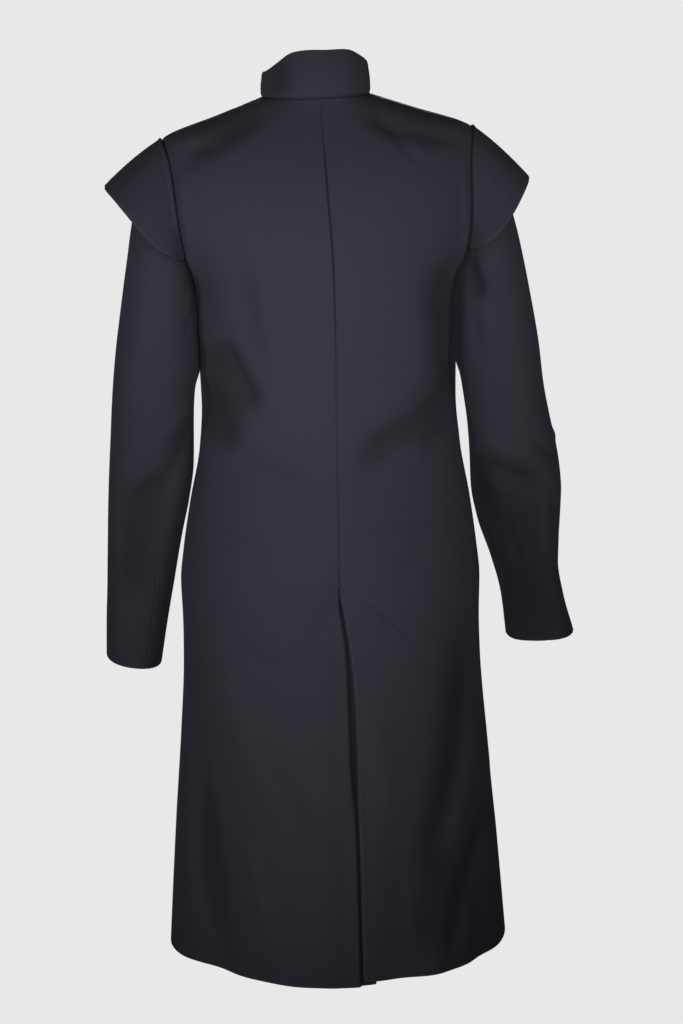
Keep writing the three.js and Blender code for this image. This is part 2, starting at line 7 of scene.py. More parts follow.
import bmesh
import bpy
import numpy as np
from bpy.props import FloatProperty, FloatVectorProperty, PointerProperty
from mathutils import Matrix, Vector


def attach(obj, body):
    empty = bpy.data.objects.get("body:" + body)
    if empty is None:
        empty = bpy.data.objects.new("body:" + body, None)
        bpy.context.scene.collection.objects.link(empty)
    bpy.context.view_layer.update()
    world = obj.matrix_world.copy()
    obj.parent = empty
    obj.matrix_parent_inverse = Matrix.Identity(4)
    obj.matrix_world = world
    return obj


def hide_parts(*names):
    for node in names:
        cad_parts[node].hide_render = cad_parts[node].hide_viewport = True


bl_info = {
    "name": "Stand-collar coat",
    "version": (1, 0, 0),
    "blender": (4, 5, 0),
    "location": "3D View > Sidebar > Coat",
    "description": "Cuts, shapes and dresses a coat with shoulder wings, piece by piece",
    "category": "Add Mesh",
}

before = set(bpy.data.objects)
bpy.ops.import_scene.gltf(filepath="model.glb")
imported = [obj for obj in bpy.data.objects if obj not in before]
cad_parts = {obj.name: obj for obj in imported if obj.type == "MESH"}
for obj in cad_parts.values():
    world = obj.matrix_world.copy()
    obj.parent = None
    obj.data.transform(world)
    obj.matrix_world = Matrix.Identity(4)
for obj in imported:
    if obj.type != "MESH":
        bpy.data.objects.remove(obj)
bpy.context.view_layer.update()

# ---- the coat's own dimensions, in millimetres ------------------------------------------
BACK, FRONT = 1, -1
LEFT, RIGHT = 1, -1
BACK_LENGTH = 1080
NECK_HALF, NECK_SIDE_Z, NECK_DROP = 64, -5, {BACK: 1, FRONT: 50}
SHOULDER_TIP_X, SHOULDER_TIP_Z = 186, -50
UNDERARM_Z = -215
HEM_SIDE, HEM_FRONT, HEM_LIFT_LEFT, HEM_LIFT_RIGHT = -1072, -1076, 8, -4
ARMHOLE_GAP = 0.7
VENT_TOP, VENT_DIP_START, VENT_SWUNG_AT, VENT_SWING = -586, -574, -790, 18
VENT_SINK, VENT_SINK_WIDTH, VENT_LIFT, VALLEY_DEPTH = 3.4, 26, 7, 6
UNDERLAP_TOP, UNDERLAP_HEM = 37, 33
LAP_COLUMNS, LAP_SINK, LAP_SINK_WIDTH = 2, 2.8, 24
NECK_COLUMNS, COLUMNS = 6, 14
LAP_TURN = LAP_COLUMNS / NECK_COLUMNS * math.pi / 2
LAP_HALF = NECK_HALF * math.sin(LAP_TURN)

# Level sections of the body: height, half width, depth of back and front, seam y, squareness.
BODY = [
    (-5, 64, 60, 52, 0, 2.1),
    (-14, 89, 62, 53, 0, 2.1),
    (-23.5, 116, 66, 56, 0, 2.15),
    (-50, 186, 79, 64, 0, 2.2),
    (-72, 197, 90, 75, 0, 2.2),
    (-100, 200, 101, 88, 0, 2.2),
    (-131, 198, 109, 100, 0, 2.2),
    (-163, 189, 114, 109, 0, 2.2),
    (-190, 177, 116, 114, 0, 2.2),
    (-208, 165.5, 117, 117, 0, 2.2),
    (-215, 161.5, 117, 118, 0, 2.2),
    (-228, 158.8, 116, 119.5, 0, 2.2),
    (-255, 157.5, 114, 121, 0, 2.2),
    (-320, 158, 106, 115, 0, 2.2),
    (-375, 157, 99, 108, 0, 2.2),
    (-430, 161, 100, 106, 0, 2.2),
    (-500, 174, 113, 107, 0, 2.2),
    (-560, 183, 124, 108, 0, 2.2),
    (-600, 187, 128, 110, 0, 2.2),
    (-650, 186, 130, 112, 0, 2.2),
    (-700, 187, 131, 114, 2, 2.15),
    (-800, 194, 137, 120, 4, 2.1),
    (-900, 203, 145, 127, 6, 2.05),
    (-1000, 211, 154, 134, 8, 2),
    (-1080, 217, 161, 140, 10, 2),
]
# The armhole seam: height and distance from the centre.
ARMHOLE = [
    (-215, 161.5),
    (-208, 163.2),
    (-190, 169.5),
    (-163, 173.5),
    (-131, 175.5),
    (-100, 177),
    (-72, 180.5),
    (-50, 186),
]
# How the coat leans: height and how far it stands to the wearer's left. Its left side is lower.
STANCE = [(0, 0), (-100, -2.5), (-200, -7), (-300, -8.5), (-400, -9), (-600, -6), (-1080, -6)]
TILT_SHARE, TILT_FROM, TILT_FULL = 0.018, -330, -60

# Sections of a sleeve: v, rail beside the body (x, z), rail away from it (x, z), half depth,
# middle of the depth, and how far the section tips forward in degrees.
UPPER_SLEEVE = [
    (0, 161.5, -215, 186, -50, 53, 3, 0),
    (1, 160.6, -222, 204, -74, 52.5, 3, 0),
    (2, 159.6, -233, 218, -110, 53, 3, 0),
    (3, 159.4, -248, 230, -152, 54, 3, 0),
    (4, 159.4, -270, 240, -200, 55, 3, 0),
    (5, 159.4, -300, 250, -255, 55, 3, 0),
    (6, 159.8, -330, 259, -310, 55, 3, 0),
]
LEFT_SLEEVE = UPPER_SLEEVE + [
    (7, 165, -365, 265.5, -365, 54, 2, 1),
    (8, 167, -410, 269.5, -415, 53, 0, 3),
    (9, 168, -450, 272.5, -460, 52, -5, 5),
    (10, 173.5, -493, 274.5, -505, 51, -12, 6),
    (11, 182.5, -540, 276, -553, 50, -22, 6),
    (12, 192, -595, 278, -604, 49, -34, 5),
    (13, 203, -655, 281, -655, 48, -46, 4),
    (14, 213, -715, 283, -704, 47, -57, 3),
]
RIGHT_SLEEVE = UPPER_SLEEVE + [
    (7, 165, -365, 265, -362, 54, 2, 1),
    (8, 171, -408, 275, -412, 53, 0, 4),
    (9, 175, -450, 286, -458, 52, -5, 7),
    (10, 178.5, -495, 292, -504, 50, -13, 8),
    (11, 189, -540, 293, -550, 48, -24, 8),
    (12, 208, -592, 294, -598, 46, -36, 7),
    (13, 223, -645, 303, -646, 44, -47, 6),
    (14, 231, -702, 318, -697, 43, -57, 5),
]
SLEEVE_END, SLEEVE_SQUARE, ARMHOLE_FADE = 14, 2.25, 3.6
SLEEVE_SINK, SLEEVE_COVERED = 2.4, (-0.97, -0.74)
# The arm rests against the body: how far it is pressed, on which part of its girth, between
# which heights it begins and between which it ends.
ARM_PRESS, ARM_INSIDE, ARM_PRESS_BEGINS, ARM_PRESS_ENDS = 3.0, (0.5, 0.95), (-352, -328), (-246, -217)
HINDARM_AT_ARMHOLE, FOREARM_SEAM = 106, -114
HINDARM_AT_CUFF = {LEFT: 112, RIGHT: 86}

# How a wing lies round the armhole: turn from the shoulder, fall, spread, clearance.
WING_LIE = [
    (0, 0.79, 0, 1),
    (45, 0.6, 0.17, 1),
    (75, 0.55, 0.26, 1),
    (100, 0.95, 0.45, 1.8),
    (110, 1.1, 0.8, 3.2),
    (120, 1.3, 1.2, 4.8),
    (135, 1.5, 1.7, 6.6),
]
WING_REACH, WING_FALL = {LEFT: 87, RIGHT: 86}, {LEFT: 0, RIGHT: 0.19}
WING_END, WING_CROWN, WING_INTO_SEAM, WING_COLUMNS = 130, 4, 3, 141
# The low ridge beside the wing's seam: height, distance from the seam and width.
WING_RIDGE, WING_RIDGE_AT, WING_RIDGE_WIDTH = 1.2, 3.0, 2.2

COLLAR_STAND, COLLAR_FOOT_GAP, COLLAR_RISE, COLLAR_TILT = 1.4, 0.8, 0.5, 3.8
COLLAR_BACK, COLLAR_SIDE, COLLAR_FRONT = 56, 32, 36
RIM_HALF, RIM_BACK, RIM_FRONT, COLLAR_BELLY, COLLAR_LAP = 63, 58, 50, 1.2, 2.2
COLLAR_TUCK, COLLAR_TUCK_WIDTH, COLLAR_COLUMNS = 1.6, 1.3, 340
# The soft roll just below the collar's rim: height, distance from the rim and width.
RIM_ROLL, RIM_ROLL_AT, RIM_ROLL_WIDTH = 0.5, 3.5, 2.2
# Where the collar's rim bends: degrees from the centre back to the wearer's left, width, height.
RIM_BENDS = [(34, 16, 2.4), (-40, 12, 1.2), (-8, 17, -2.6), (58, 13, 1.8)]

# ---- how the cloth is sewn and pressed, in millimetres ----------------------------------
# Sewn edges press this far into each other, so that no light comes through.
SEAM_PRESS, SEAM_PRESS_REACH = 0.15, 0.8
# A turned-up hem: what it adds, how softly it ends, and its depth at the cuff.
HEM_LAYER, HEM_STEP, CUFF_TURN = 1.5, 1.5, 40
# The facing turned in along a free edge: what it adds, and where it ends.
FACING_LAYER, FACING_ENDS = 1.3, (36, 37.5)
# How far the edge of a sleeve, wing or collar goes into its seam, sideways and down.
TUCKED_BACK, TUCKED_DOWN = 0.3, 2.6
# A pressed free edge stands up a little, most this far inside it.
VENT_ROLL, FRONT_ROLL, EDGE_ROLL_AT = 0.6, 0.9, 3
# A seam holds the cloth beside it, so creases begin this far from it and are full at that.
SIDE_HOLDS, SHOULDER_HOLDS, SLEEVE_HEAD_HOLDS = (1, 16), (2, 60), (4, 30)
ARMHOLE_SEAM_WIDTH, ARMHOLE_REACH = 0.62, 8
# Cloth eased into the armhole: height, distance from the seam, width, where it begins and ends.
EASE_HEIGHT, EASE_AT, EASE_WIDTH, EASE_BEGINS, EASE_ENDS = 2.6, 12, 8, (-275, -215), (-120, -70)
# The long seams of a sleeve show only on its forearm: the rows between which they come up, how
# much they show, and how deep they turn in above and below, as a share of the seam depth.
FOREARM_ROWS, FOREARM_SEAM_SHOWS, FOREARM_SEAM_ROLLS = (9.5, 12.5), 0.3, (0.03, 0.4)
# One degree round the arm, in millimetres.
ARM_DEGREE = 0.93

# ---- painted shade, and rubbed folds with a painted highlight ---------------------------
# How deep a hollow is where its painted shade begins, and where it is darkest.
HOLLOW_DARKENS = (0.5, 8.5)
# Painted shade in the valley beside the vent's free edge.
VALLEY_SHADE = 1.6
# Painted shadow under the fold of a wing: dark just below it, and fainter further down.
WING_SHADE, WING_SHADE_ENDS = 1.3, (1, 6)
WING_FAINT, WING_FAINT_ENDS = 0.45, (0, 26)
# How much a pressed fold is rubbed and lightened with a painted highlight, and how wide.
HEM_RUB_HIGHLIGHT, HEM_RUB_HIGHLIGHT_WIDTH = 0.8, 1.8
EDGE_RUB_HIGHLIGHT, EDGE_RUB_HIGHLIGHT_WIDTH = 0.5, 1.5
WING_RUB_HIGHLIGHT, COLLAR_RUB_HIGHLIGHT, RIM_RUB_HIGHLIGHT_WIDTH = 0.8, 0.7, 1.6

# The body's largest folds, as in the solids: face, upper end, lower end, reach, height. They
# are full at this share of their length, and fade this near to the side seam.
FOLD_FULL, FOLD_FADES = 0.9, 0.88
FOLDS = [
    (BACK, (146, -690), (168, -1080), 27, -11),
    (BACK, (122, -690), (70, -1080), 30, 5),
    (BACK, (-66, -700), (-66, -1080), 24, -5),
    (BACK, (-126, -740), (-108, -1080), 24, 5),
    (BACK, (-164, -760), (-176, -1080), 17, -6),
    (FRONT, (84, -640), (96, -1080), 26, -5),
    (FRONT, (140, -700), (152, -1080), 22, 4),
    (FRONT, (-88, -660), (-102, -1080), 26, -5),
    (FRONT, (-142, -700), (-150, -1080), 22, 5),
]

# ---- creases placed one by one ----------------------------------------------------------
# Each is a line of points, its height (below zero a trough) and its reach to the wearer's
# left and right of a line drawn downwards. On the body a point is (x, z).
BACK_CREASES = [
    # soft hollows beside the shoulder blades
    ([(104, -165), (98, -248), (84, -345)], -3.6, (18, 9)),
    ([(67, -150), (66, -200), (65, -246)], -1.3, (9, 8)),
    ([(66, -250), (62, -320), (58, -390)], 0.4, (12, 20)),
    ([(-140, -178), (-145, -240), (-150, -300), (-154, -350), (-152, -400)], -11.5, (26, 11)),
    ([(-104, -200), (-106, -280), (-104, -345)], 1.6, (16, 9)),
    # hollows at the waist, under a roll of cloth
    ([(140, -270), (122, -318), (104, -352), (90, -388)], -9.5, (36, 13)),
    ([(166, -330), (154, -366), (136, -398), (112, -424)], -9.5, (20, 20)),
    ([(-160, -335), (-116, -384), (-62, -412), (-6, -462)], -8.0, (20, 20)),
    ([(-128, -312), (-88, -350), (-40, -380)], 2.2, (18, 14)),
    ([(-156, -372), (-128, -408), (-96, -438)], -4.5, (14, 16)),
    # the small of the back and the drag lines over the hips
    ([(150, -410), (98, -428), (50, -446), (4, -460)], -3.4, (14, 17)),
    ([(-14, -514), (-75, -512), (-134, -506)], -2.4, (13, 10)),
    ([(-128, -528), (-100, -546), (-70, -580)], -2.4, (9, 9)),
    ([(-172, -505), (-126, -514), (-84, -526)], -1.3, (10, 6)),
    ([(152, -498), (127, -518), (98, -540)], -1.5, (7, 7)),
    ([(160, -540), (120, -590), (60, -640)], 2.2, (26, 22)),
    # over the shoulders
    ([(182, -86), (152, -64), (118, -46), (84, -28), (52, -12)], -6.5, (14, 13)),
    ([(-182, -66), (-140, -56), (-92, -46), (-52, -26), (-22, -10)], -6.0, (14, 12)),
    # from the neck towards the right shoulder
    ([(-58, -14), (-69, -32), (-84, -52), (-103, -75), (-128, -106)], -1.3, (4, 8)),
    ([(-96, -30), (-112, -62), (-126, -92)], 0.8, (8, 8)),
    # below the top of the vent
    ([(-14, -588), (-47, -614), (-75, -638), (-104, -664)], -2.6, (4, 1.8)),
    ([(-20, -580), (-60, -608), (-96, -640)], 1.2, (12, 10)),
    ([(6, -586), (31, -636), (66, -690)], -2.6, (9, 14)),
    ([(140, -660), (90, -672), (36, -690)], -2.6, (15, 15)),
    # the skirt, left
    ([(178, -660), (176, -770), (168, -870), (160, -970), (150, -1100)], -3.6, (11, 12)),
    ([(156, -640), (116, -760), (68, -860), (20, -960)], 10.0, (34, 22)),
    ([(176, -810), (178, -900), (176, -981), (162, -1070)], -6.5, (9, 15)),
    ([(112, -880), (93, -930), (72, -985), (50, -1050)], -2.4, (12, 12)),
    ([(128, -880), (115, -930), (99, -1010), (90, -1080)], 2.6, (11, 10)),
    # the skirt, right
    ([(-160, -600), (-160, -700), (-152, -780), (-136, -850), (-104, -925), (-70, -1010)], -9.0, (30, 14)),
    ([(-186, -760), (-164, -850), (-136, -918), (-100, -1000), (-74, -1090)], 1.6, (11, 22)),
    ([(-200, -840), (-176, -920), (-146, -990), (-120, -1100)], -6.5, (20, 14)),
    ([(-130, -870), (-119, -946), (-102, -994), (-86, -1090)], -8.0, (18, 22)),
    ([(-14, -715), (-16, -780), (-19, -850), (-20, -920)], -2.6, (10, 12)),
    ([(-34, -700), (-50, -800), (-56, -900)], 2.6, (14, 18)),
    # fine creases where the arm meets the back
    ([(166, -190), (156, -204), (142, -212)], -0.9, (2.4, 2.0)),
    ([(165, -204), (156, -216), (145, -222)], -0.8, (2.2, 2.0)),
    ([(-166, -196), (-154, -208), (-140, -214)], -0.9, (2.4, 2.0)),
    # underarms
    ([(158, -214), (146, -240), (138, -262)], -1.4, (6, 6)),
    ([(-158, -212), (-150, -240), (-146, -268)], -1.4, (6, 6)),
]
FRONT_CREASES = [
    ([(64, -80), (84, -130), (96, -190)], -1.8, (12, 12)),
    ([(-66, -84), (-88, -140), (-98, -196)], -1.8, (12, 11)),
    ([(150, -226), (118, -262), (84, -286)], -1.8, (9, 9)),
    ([(-150, -230), (-120, -270), (-82, -300)], -1.8, (9, 8)),
    ([(120, -330), (88, -366), (52, -384)], -2.2, (14, 14)),
    ([(-118, -324), (-92, -362), (-56, -392)], -2.2, (14, 14)),
    ([(150, -486), (118, -508), (84, -524)], -1.4, (8, 8)),
    ([(-156, -494), (-126, -512), (-92, -522)], -1.4, (8, 8)),
    ([(60, -560), (74, -680), (70, -820)], 2.2, (20, 22)),
    ([(-40, -540), (-58, -680), (-62, -860)], 1.8, (20, 20)),
    ([(118, -760), (128, -880), (124, -1010)], -2.6, (14, 16)),
    ([(-122, -740), (-126, -880), (-132, -1020)], -2.4, (15, 15)),
]
# On a sleeve a point is (degrees round from the shoulder line towards the back, height).
LEFT_SLEEVE_CREASES = [
    ([(170, -232), (140, -262), (118, -292)], -1.8, (5, 5)),
    ([(178, -250), (150, -276), (128, -300)], 1.0, (4, 4)),
    ([(175, -352), (120, -392), (72, -432)], 3.0, (9, 12)),
    ([(182, -372), (134, -420), (92, -474), (40, -500)], -4.5, (14, 16)),
    ([(20, -404), (52, -426), (88, -440)], -1.6, (9, 9)),
    ([(4, -452), (30, -470), (64, -474)], -1.4, (8, 8)),
    ([(96, -430), (78, -500), (74, -560), (84, -650)], -8.5, (34, 32)),
    ([(-30, -390), (-80, -424), (-130, -440)], -2.0, (10, 10)),
    ([(-60, -470), (-110, -500), (-150, -506)], -1.6, (9, 9)),
]
RIGHT_SLEEVE_CREASES = [
    ([(140, -176), (134, -204), (122, -232), (104, -258)], -8.0, (18, 18)),
    ([(138, -262), (126, -290), (118, -330)], -2.0, (8, 8)),
    ([(4, -446), (30, -452), (58, -438), (80, -416)], -2.6, (7, 7)),
    ([(0, -424), (24, -428), (46, -420)], 2.2, (8, 8)),
    # the elbow rolls over the forearm
    ([(176, -426), (134, -428), (90, -444), (40, -462)], 3.4, (14, 14)),
    ([(184, -452), (136, -458), (90, -474), (44, -496)], -6.5, (16, 16)),
    ([(118, -440), (116, -500), (114, -560), (112, -640), (110, -760)], -12.5, (42, 48)),
    ([(172, -440), (160, -484), (148, -540), (140, -600)], -6.0, (20, 24)),
    ([(4, -566), (26, -552), (44, -520), (50, -490)], -2.4, (7, 8)),
    ([(60, -500), (56, -540), (64, -600)], 1.6, (10, 10)),
    ([(116, -500), (110, -560), (96, -620)], -2.6, (14, 10)),
    ([(-30, -400), (-84, -436), (-132, -446)], -2.2, (10, 10)),
    ([(-50, -486), (-104, -520), (-150, -528)], -1.6, (9, 9)),
]
# On the collar a point is (degrees from the centre back to the wearer's left, height).
COLLAR_CREASES = [
    ([(-25, 46), (-22, 30), (-24, 10)], -1.2, (5, 5)),
    ([(52, 62), (50, 30), (54, -4)], -6.5, (26, 20)),
    ([(14, 60), (12, 30), (14, 0)], 1.4, (9, 12)),
    ([(-24, 62), (-25, 30), (-24, 0)], 2.2, (14, 18)),
    ([(-44, 14), (-56, 6), (-66, 4)], 0.8, (4, 4)),
    ([(50, 12), (38, 5), (28, 4)], 0.8, (4, 4)),
]


# ---- curves and surfaces ----------------------------------------------------------------
def lerp(a, b, t):
    return a + (b - a) * t


def smooth(x, low, high):
    t = np.clip((x - low) / (high - low), 0, 1)
    return t * t * (3 - 2 * t)


def bell(distance, width):
    """1 at no distance, which falls away softly on both sides."""
    return np.exp(-((distance / width) ** 2))


def curve(rows, column):
    """A smooth curve through one column of a table, without overshoot between the rows."""
    rows = sorted(rows)
    at = np.array([row[0] for row in rows], float)
    value = np.array([row[column] for row in rows], float)
    rise = np.diff(value) / np.diff(at)
    before = np.concatenate([rise[:1], rise])
    after = np.concatenate([rise, rise[-1:]])
    total = np.where(before + after == 0, 1, before + after)
    slope = np.where(before * after <= 0, 0, 2 * before * after / total)

    def read(x):
        x = np.asarray(x, float)
        i = np.clip(np.searchsorted(at, x, side="right") - 1, 0, len(at) - 2)
        width = at[i + 1] - at[i]
        f = (x - at[i]) / width
        inside = (
            value[i] * (1 + 2 * f) * (1 - f) ** 2
            + slope[i] * width * f * (1 - f) ** 2
            + value[i + 1] * f * f * (3 - 2 * f)
            + slope[i + 1] * width * f * f * (f - 1)
        )
        low = value[0] + slope[0] * (x - at[0])
        high = value[-1] + slope[-1] * (x - at[-1])
        return np.where(x <= at[0], low, np.where(x >= at[-1], high, inside))

    return read


body_half, body_back, body_front, seam_y, body_square = (curve(BODY, k) for k in range(1, 6))
armhole_x = curve(ARMHOLE, 1)
stance_x = curve(STANCE, 1)
wing_fall, wing_spread, wing_clear = (curve(WING_LIE, k) for k in range(1, 4))


def stack(x, y, z):
    return np.stack(np.broadcast_arrays(x, y, z), axis=-1).astype(float)


def unit(v):
    return v / np.maximum(np.linalg.norm(v, axis=-1, keepdims=True), 1e-12)


def depth_of(face, z):
    return np.where(face > 0, body_back(z), body_front(z))


def neckline_z(face, x):
    drop = np.where(face > 0, NECK_DROP[BACK], NECK_DROP[FRONT])
    return NECK_SIDE_Z - drop * (1 - (x / NECK_HALF) ** 2)


def body_point(face, x, z):
    """The place on the back (face 1) or the front (face -1) of the body at x and z."""
    n = body_square(z)
    across = np.minimum(np.abs(x) / body_half(z), 1)
    return stack(x, seam_y(z) + face * depth_of(face, z) * (1 - across**n) ** (1 / n), z)


def body_normal(face, p):
    def level(x, y, z):
        n = body_square(z)
        deep = np.abs(y - seam_y(z)) / depth_of(face, z)
        return (np.abs(x) / body_half(z)) ** n + deep**n

    x, y, z = p[..., 0], p[..., 1], p[..., 2]
    h = 0.4
    return unit(
        stack(
            level(x + h, y, z) - level(x - h, y, z),
            level(x, y + h, z) - level(x, y - h, z),
            level(x, y, z + h) - level(x, y, z - h),
        )
    )


def grid_normal(p):
    """Square to a grid of points, from its own rows and columns."""
    return unit(np.cross(np.gradient(p, axis=1), np.gradient(p, axis=0)))


def arc_across(p):
    """How far each point lies along its row, from the first column."""
    step = np.linalg.norm(np.diff(p, axis=1), axis=-1)
    return np.concatenate([np.zeros((len(p), 1)), np.cumsum(step, axis=1)], axis=1)


def arc_down(p):
    """How far each point lies down its column, from the first row."""
    return arc_across(p.swapaxes(0, 1)).T


def hang(p):
    """The coat leans a little to one side, with its left shoulder lower."""
    x, y, z = p[..., 0], p[..., 1], p[..., 2]
    tilt = TILT_SHARE * smooth(z, TILT_FROM, TILT_FULL)
    return stack(x + stance_x(z), y, z - tilt * x)


def bent_line(points, count=24):
    """A smooth line through a crease's few points."""
    p = np.array(points, float)
    p = np.vstack([2 * p[0] - p[1], p, 2 * p[-1] - p[-2]])
    t = np.linspace(0, len(points) - 1, count)
    i = np.minimum(t.astype(int), len(points) - 2)
    f = (t - i)[:, None]
    a, b, c, d = p[i], p[i + 1], p[i + 2], p[i + 3]
    bend, twist = 2 * a - 5 * b + 4 * c - d, 3 * b - a - 3 * c + d
    return 0.5 * (2 * b + (c - a) * f + bend * f**2 + twist * f**3)


def crease_lift(across, down, creases):
    """How far the creases lift the cloth, in the plane of (across, down)."""
    lift = np.zeros(np.broadcast(across, down).shape)
    for points, height, (to_left, to_right) in creases:
        line = bent_line(points)
        leg = np.diff(line, axis=0)
        size = np.hypot(*leg.T)
        run = np.concatenate([[0], np.cumsum(size)])
        near = np.full(lift.shape, 1e9)
        side, along = np.zeros(lift.shape), np.zeros(lift.shape)
        for k, (way, length) in enumerate(zip(leg / size[:, None], size)):
            ra, rd = across - line[k, 0], down - line[k, 1]
            t = np.clip(ra * way[0] + rd * way[1], 0, length)
            off = np.hypot(ra - t * way[0], rd - t * way[1])
            closer = off < near
            side = np.where(closer, np.sign(ra * way[1] - rd * way[0]), side)
            along = np.where(closer, run[k] + t, along)
            near = np.where(closer, off, near)
        share = along / run[-1]
        ends = smooth(share, 0, 0.35) * (1 - smooth(share, 0.65, 1))
        lift += height * ends * bell(near, np.where(side < 0, to_left, to_right))
    return lift


# ---- walls of cloth ---------------------------------------------------------------------
# Points closer than this, in metres, are one point.
SAME_POINT = 2e-6
# Hem stitches: height above the hem's edge, and the columns they pass through.
HEM_STITCH_HEIGHT, HEM_STITCH_COLUMNS = 0.8, slice(4, -4, 3)


def closed_wall(outer, inner, folded=(0, 0, 0, 0), turns=4):
    """Points, quads and source cells of one closed wall of cloth.

    outer and inner are grids of points. folded says how round its first row, last row, first
    column and last column are: 0 is a cut edge inside a seam and 1 a pressed fold. Each is a
    number, or for the columns one for every row.
    """
    rows, columns = outer.shape[:2]
    first, last, left, right = folded
    angles = np.arange(1, turns) * math.pi / turns

    def edge(j, beside, bulge):
        middle, half = (outer[:, j] + inner[:, j]) / 2, (outer[:, j] - inner[:, j]) / 2
        way = unit(outer[:, j] - outer[:, beside])
        size = np.linalg.norm(half, axis=-1, keepdims=True) * np.reshape(bulge, (-1, 1))
        return [middle + half * math.cos(a) + way * size * math.sin(a) for a in angles], middle

    right_arc, right_middle = edge(-1, -2, right)
    left_arc, left_middle = edge(0, 1, left)
    right_turn, left_turn = np.stack(right_arc, axis=1), np.stack(left_arc[::-1], axis=1)
    loop = np.concatenate([outer, right_turn, inner[:, ::-1], left_turn], axis=1)
    centre = (outer + inner) / 2
    rest = [np.repeat(right_middle[:, None], len(angles), 1), centre[:, ::-1]]
    middle = np.concatenate([centre, *rest, np.repeat(left_middle[:, None], len(angles), 1)], axis=1)
    around = np.concatenate(
        [
            np.arange(columns),
            np.full(len(angles), columns - 1),
            np.arange(columns)[::-1],
            np.zeros(len(angles), int),
        ]
    )

    def cap(i, beside, bulge):
        way = unit(middle[i] - middle[beside])
        half = loop[i] - middle[i]
        size = np.linalg.norm(half, axis=-1, keepdims=True) * bulge
        quarter = np.arange(1, turns + 1) * math.pi / 2 / turns if bulge else [math.pi / 2]
        return [middle[i] + half * math.cos(a) + way * size * math.sin(a) for a in quarter]

    top, bottom = cap(0, 1, first), cap(-1, -2, last)
    points = np.concatenate([top[::-1], loop, bottom])
    below = np.full(len(bottom), rows - 1)
    row_of = np.concatenate([np.zeros(len(top), int), np.arange(rows), below])
    count, size = points.shape[:2]
    i, k = np.meshgrid(np.arange(count - 1), np.arange(size), indexing="ij")
    after = (k + 1) % size
    here, next_row = i * size, (i + 1) * size
    quads = np.stack([here + k, here + after, next_row + after, next_row + k], axis=-1)
    cells = (np.repeat(row_of, size), np.tile(around, count))
    return points.reshape(-1, 3), quads.reshape(-1, 4), cells


def sew(name, outer, inner, marks, folded):
    """Makes a wall of cloth into an object. marks are grids kept as point attributes."""
    points, quads, (row, column) = closed_wall(outer, inner, folded)
    mesh = bpy.data.meshes.new(name)
    mesh.vertices.add(len(points))
    mesh.vertices.foreach_set("co", (hang(points) / 1000).ravel())
    mesh.loops.add(quads.size)
    mesh.loops.foreach_set("vertex_index", quads.ravel())
    mesh.polygons.add(len(quads))
    mesh.polygons.foreach_set("loop_start", np.arange(0, quads.size, 4))
    mesh.polygons.foreach_set("use_smooth", np.ones(len(quads), bool))
    for mark, grid in marks.items():
        values = grid[row, column]
        kind = "FLOAT_VECTOR" if values.ndim > 1 else "FLOAT"
        layer = mesh.attributes.new(mark, kind, "POINT")
        layer.data.foreach_set("vector" if values.ndim > 1 else "value", values.ravel())
    mesh.update()
    work = bmesh.new()
    work.from_mesh(mesh)
    bmesh.ops.remove_doubles(work, verts=work.verts, dist=SAME_POINT)
    bmesh.ops.recalc_face_normals(work, faces=work.faces)
    work.to_mesh(mesh)
    work.free()
    piece = bpy.data.objects.new(name, mesh)
    bpy.context.scene.collection.objects.link(piece)
    return piece


def cloth_marks(p, shade, rub_highlight):
    """The cloth's own measure across and down the grain in metres, its painted shade, and its rubbed folds
    with a painted highlight.
    """
    down = arc_down(p)[:, :1]
    return {
        "grain": stack(arc_across(p), down, 0) / 1000,
        "seam_shade": np.broadcast_to(shade, p.shape[:2]),
        "edge_wear": np.broadcast_to(rub_highlight, p.shape[:2]),
    }


def finish_piece(name, outer, inner, marks, folded):
    """Sews one piece of gabardine, which stands on the solid of that name."""
    piece = sew(f"{name}_cloth", outer, inner, marks, folded)
    piece.data.materials.append(gabardine())
    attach(piece, "root")
    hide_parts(name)


def hem_thickness(cloth, to_hem, turned):
    """The cloth is double where it is turned up."""
    return cloth.thickness * 1000 + HEM_LAYER * (1 - smooth(to_hem, turned - HEM_STEP, turned))


def thin_at_seams(thick, cloth, seams):
    """The cloth comes down to one layer where it is sewn."""
    return lerp(thick, cloth.thickness * 1000, np.minimum(seams * 1.2, 1))


def hollow_shade(lift):
    """How much darker cloth looks down in a hollow, where less light reaches it."""
    return smooth(-lift, *HOLLOW_DARKENS)


# Where the turned-up hems are sewn down, filled in as the panels and sleeves are made.
HEM_PATHS, CUFF_PATHS = [], []


def hem_path(inner, to_hem, turned):
    """A line along the inside of the cloth, just above the turned-up hem."""
    rows = np.argmin(np.abs(to_hem - turned - HEM_STITCH_HEIGHT), axis=0)
    line = inner[rows, np.arange(inner.shape[1])]
    return line[HEM_STITCH_COLUMNS]


# ---- the body ---------------------------------------------------------------------------
NEAR_EDGE = [0, 0.5, 1, 1.6, 2.4, 3.4, 4.6, 6.2, 8.2, 10.6]
NEAR_HEM = [7.5, 5, 3.2, 1.8, 0.8, 0]
COLUMN_STEP, ROW_STEP, UPPER_ROWS = 2.9, 3.1, 60
WAIST_HALF, WAIST_DEEP, UPPER_HEIGHT, PANEL_GIRTH = 160, 108, 150, 230


def panel_columns():
    """Columns of a panel, from 0 at the centre to COLUMNS at the side, closer at both edges."""
    turn = math.pi / 2 / COLUMNS
    near = [(d / WAIST_HALF) ** 1.1 / turn for d in NEAR_EDGE]
    far = [COLUMNS - (d / WAIST_DEEP) ** 1.1 / turn for d in NEAR_EDGE[::-1]]
    middle = np.linspace(near[-1], far[0], round(PANEL_GIRTH / COLUMN_STEP))[1:-1]
    return np.concatenate([near, middle, far])


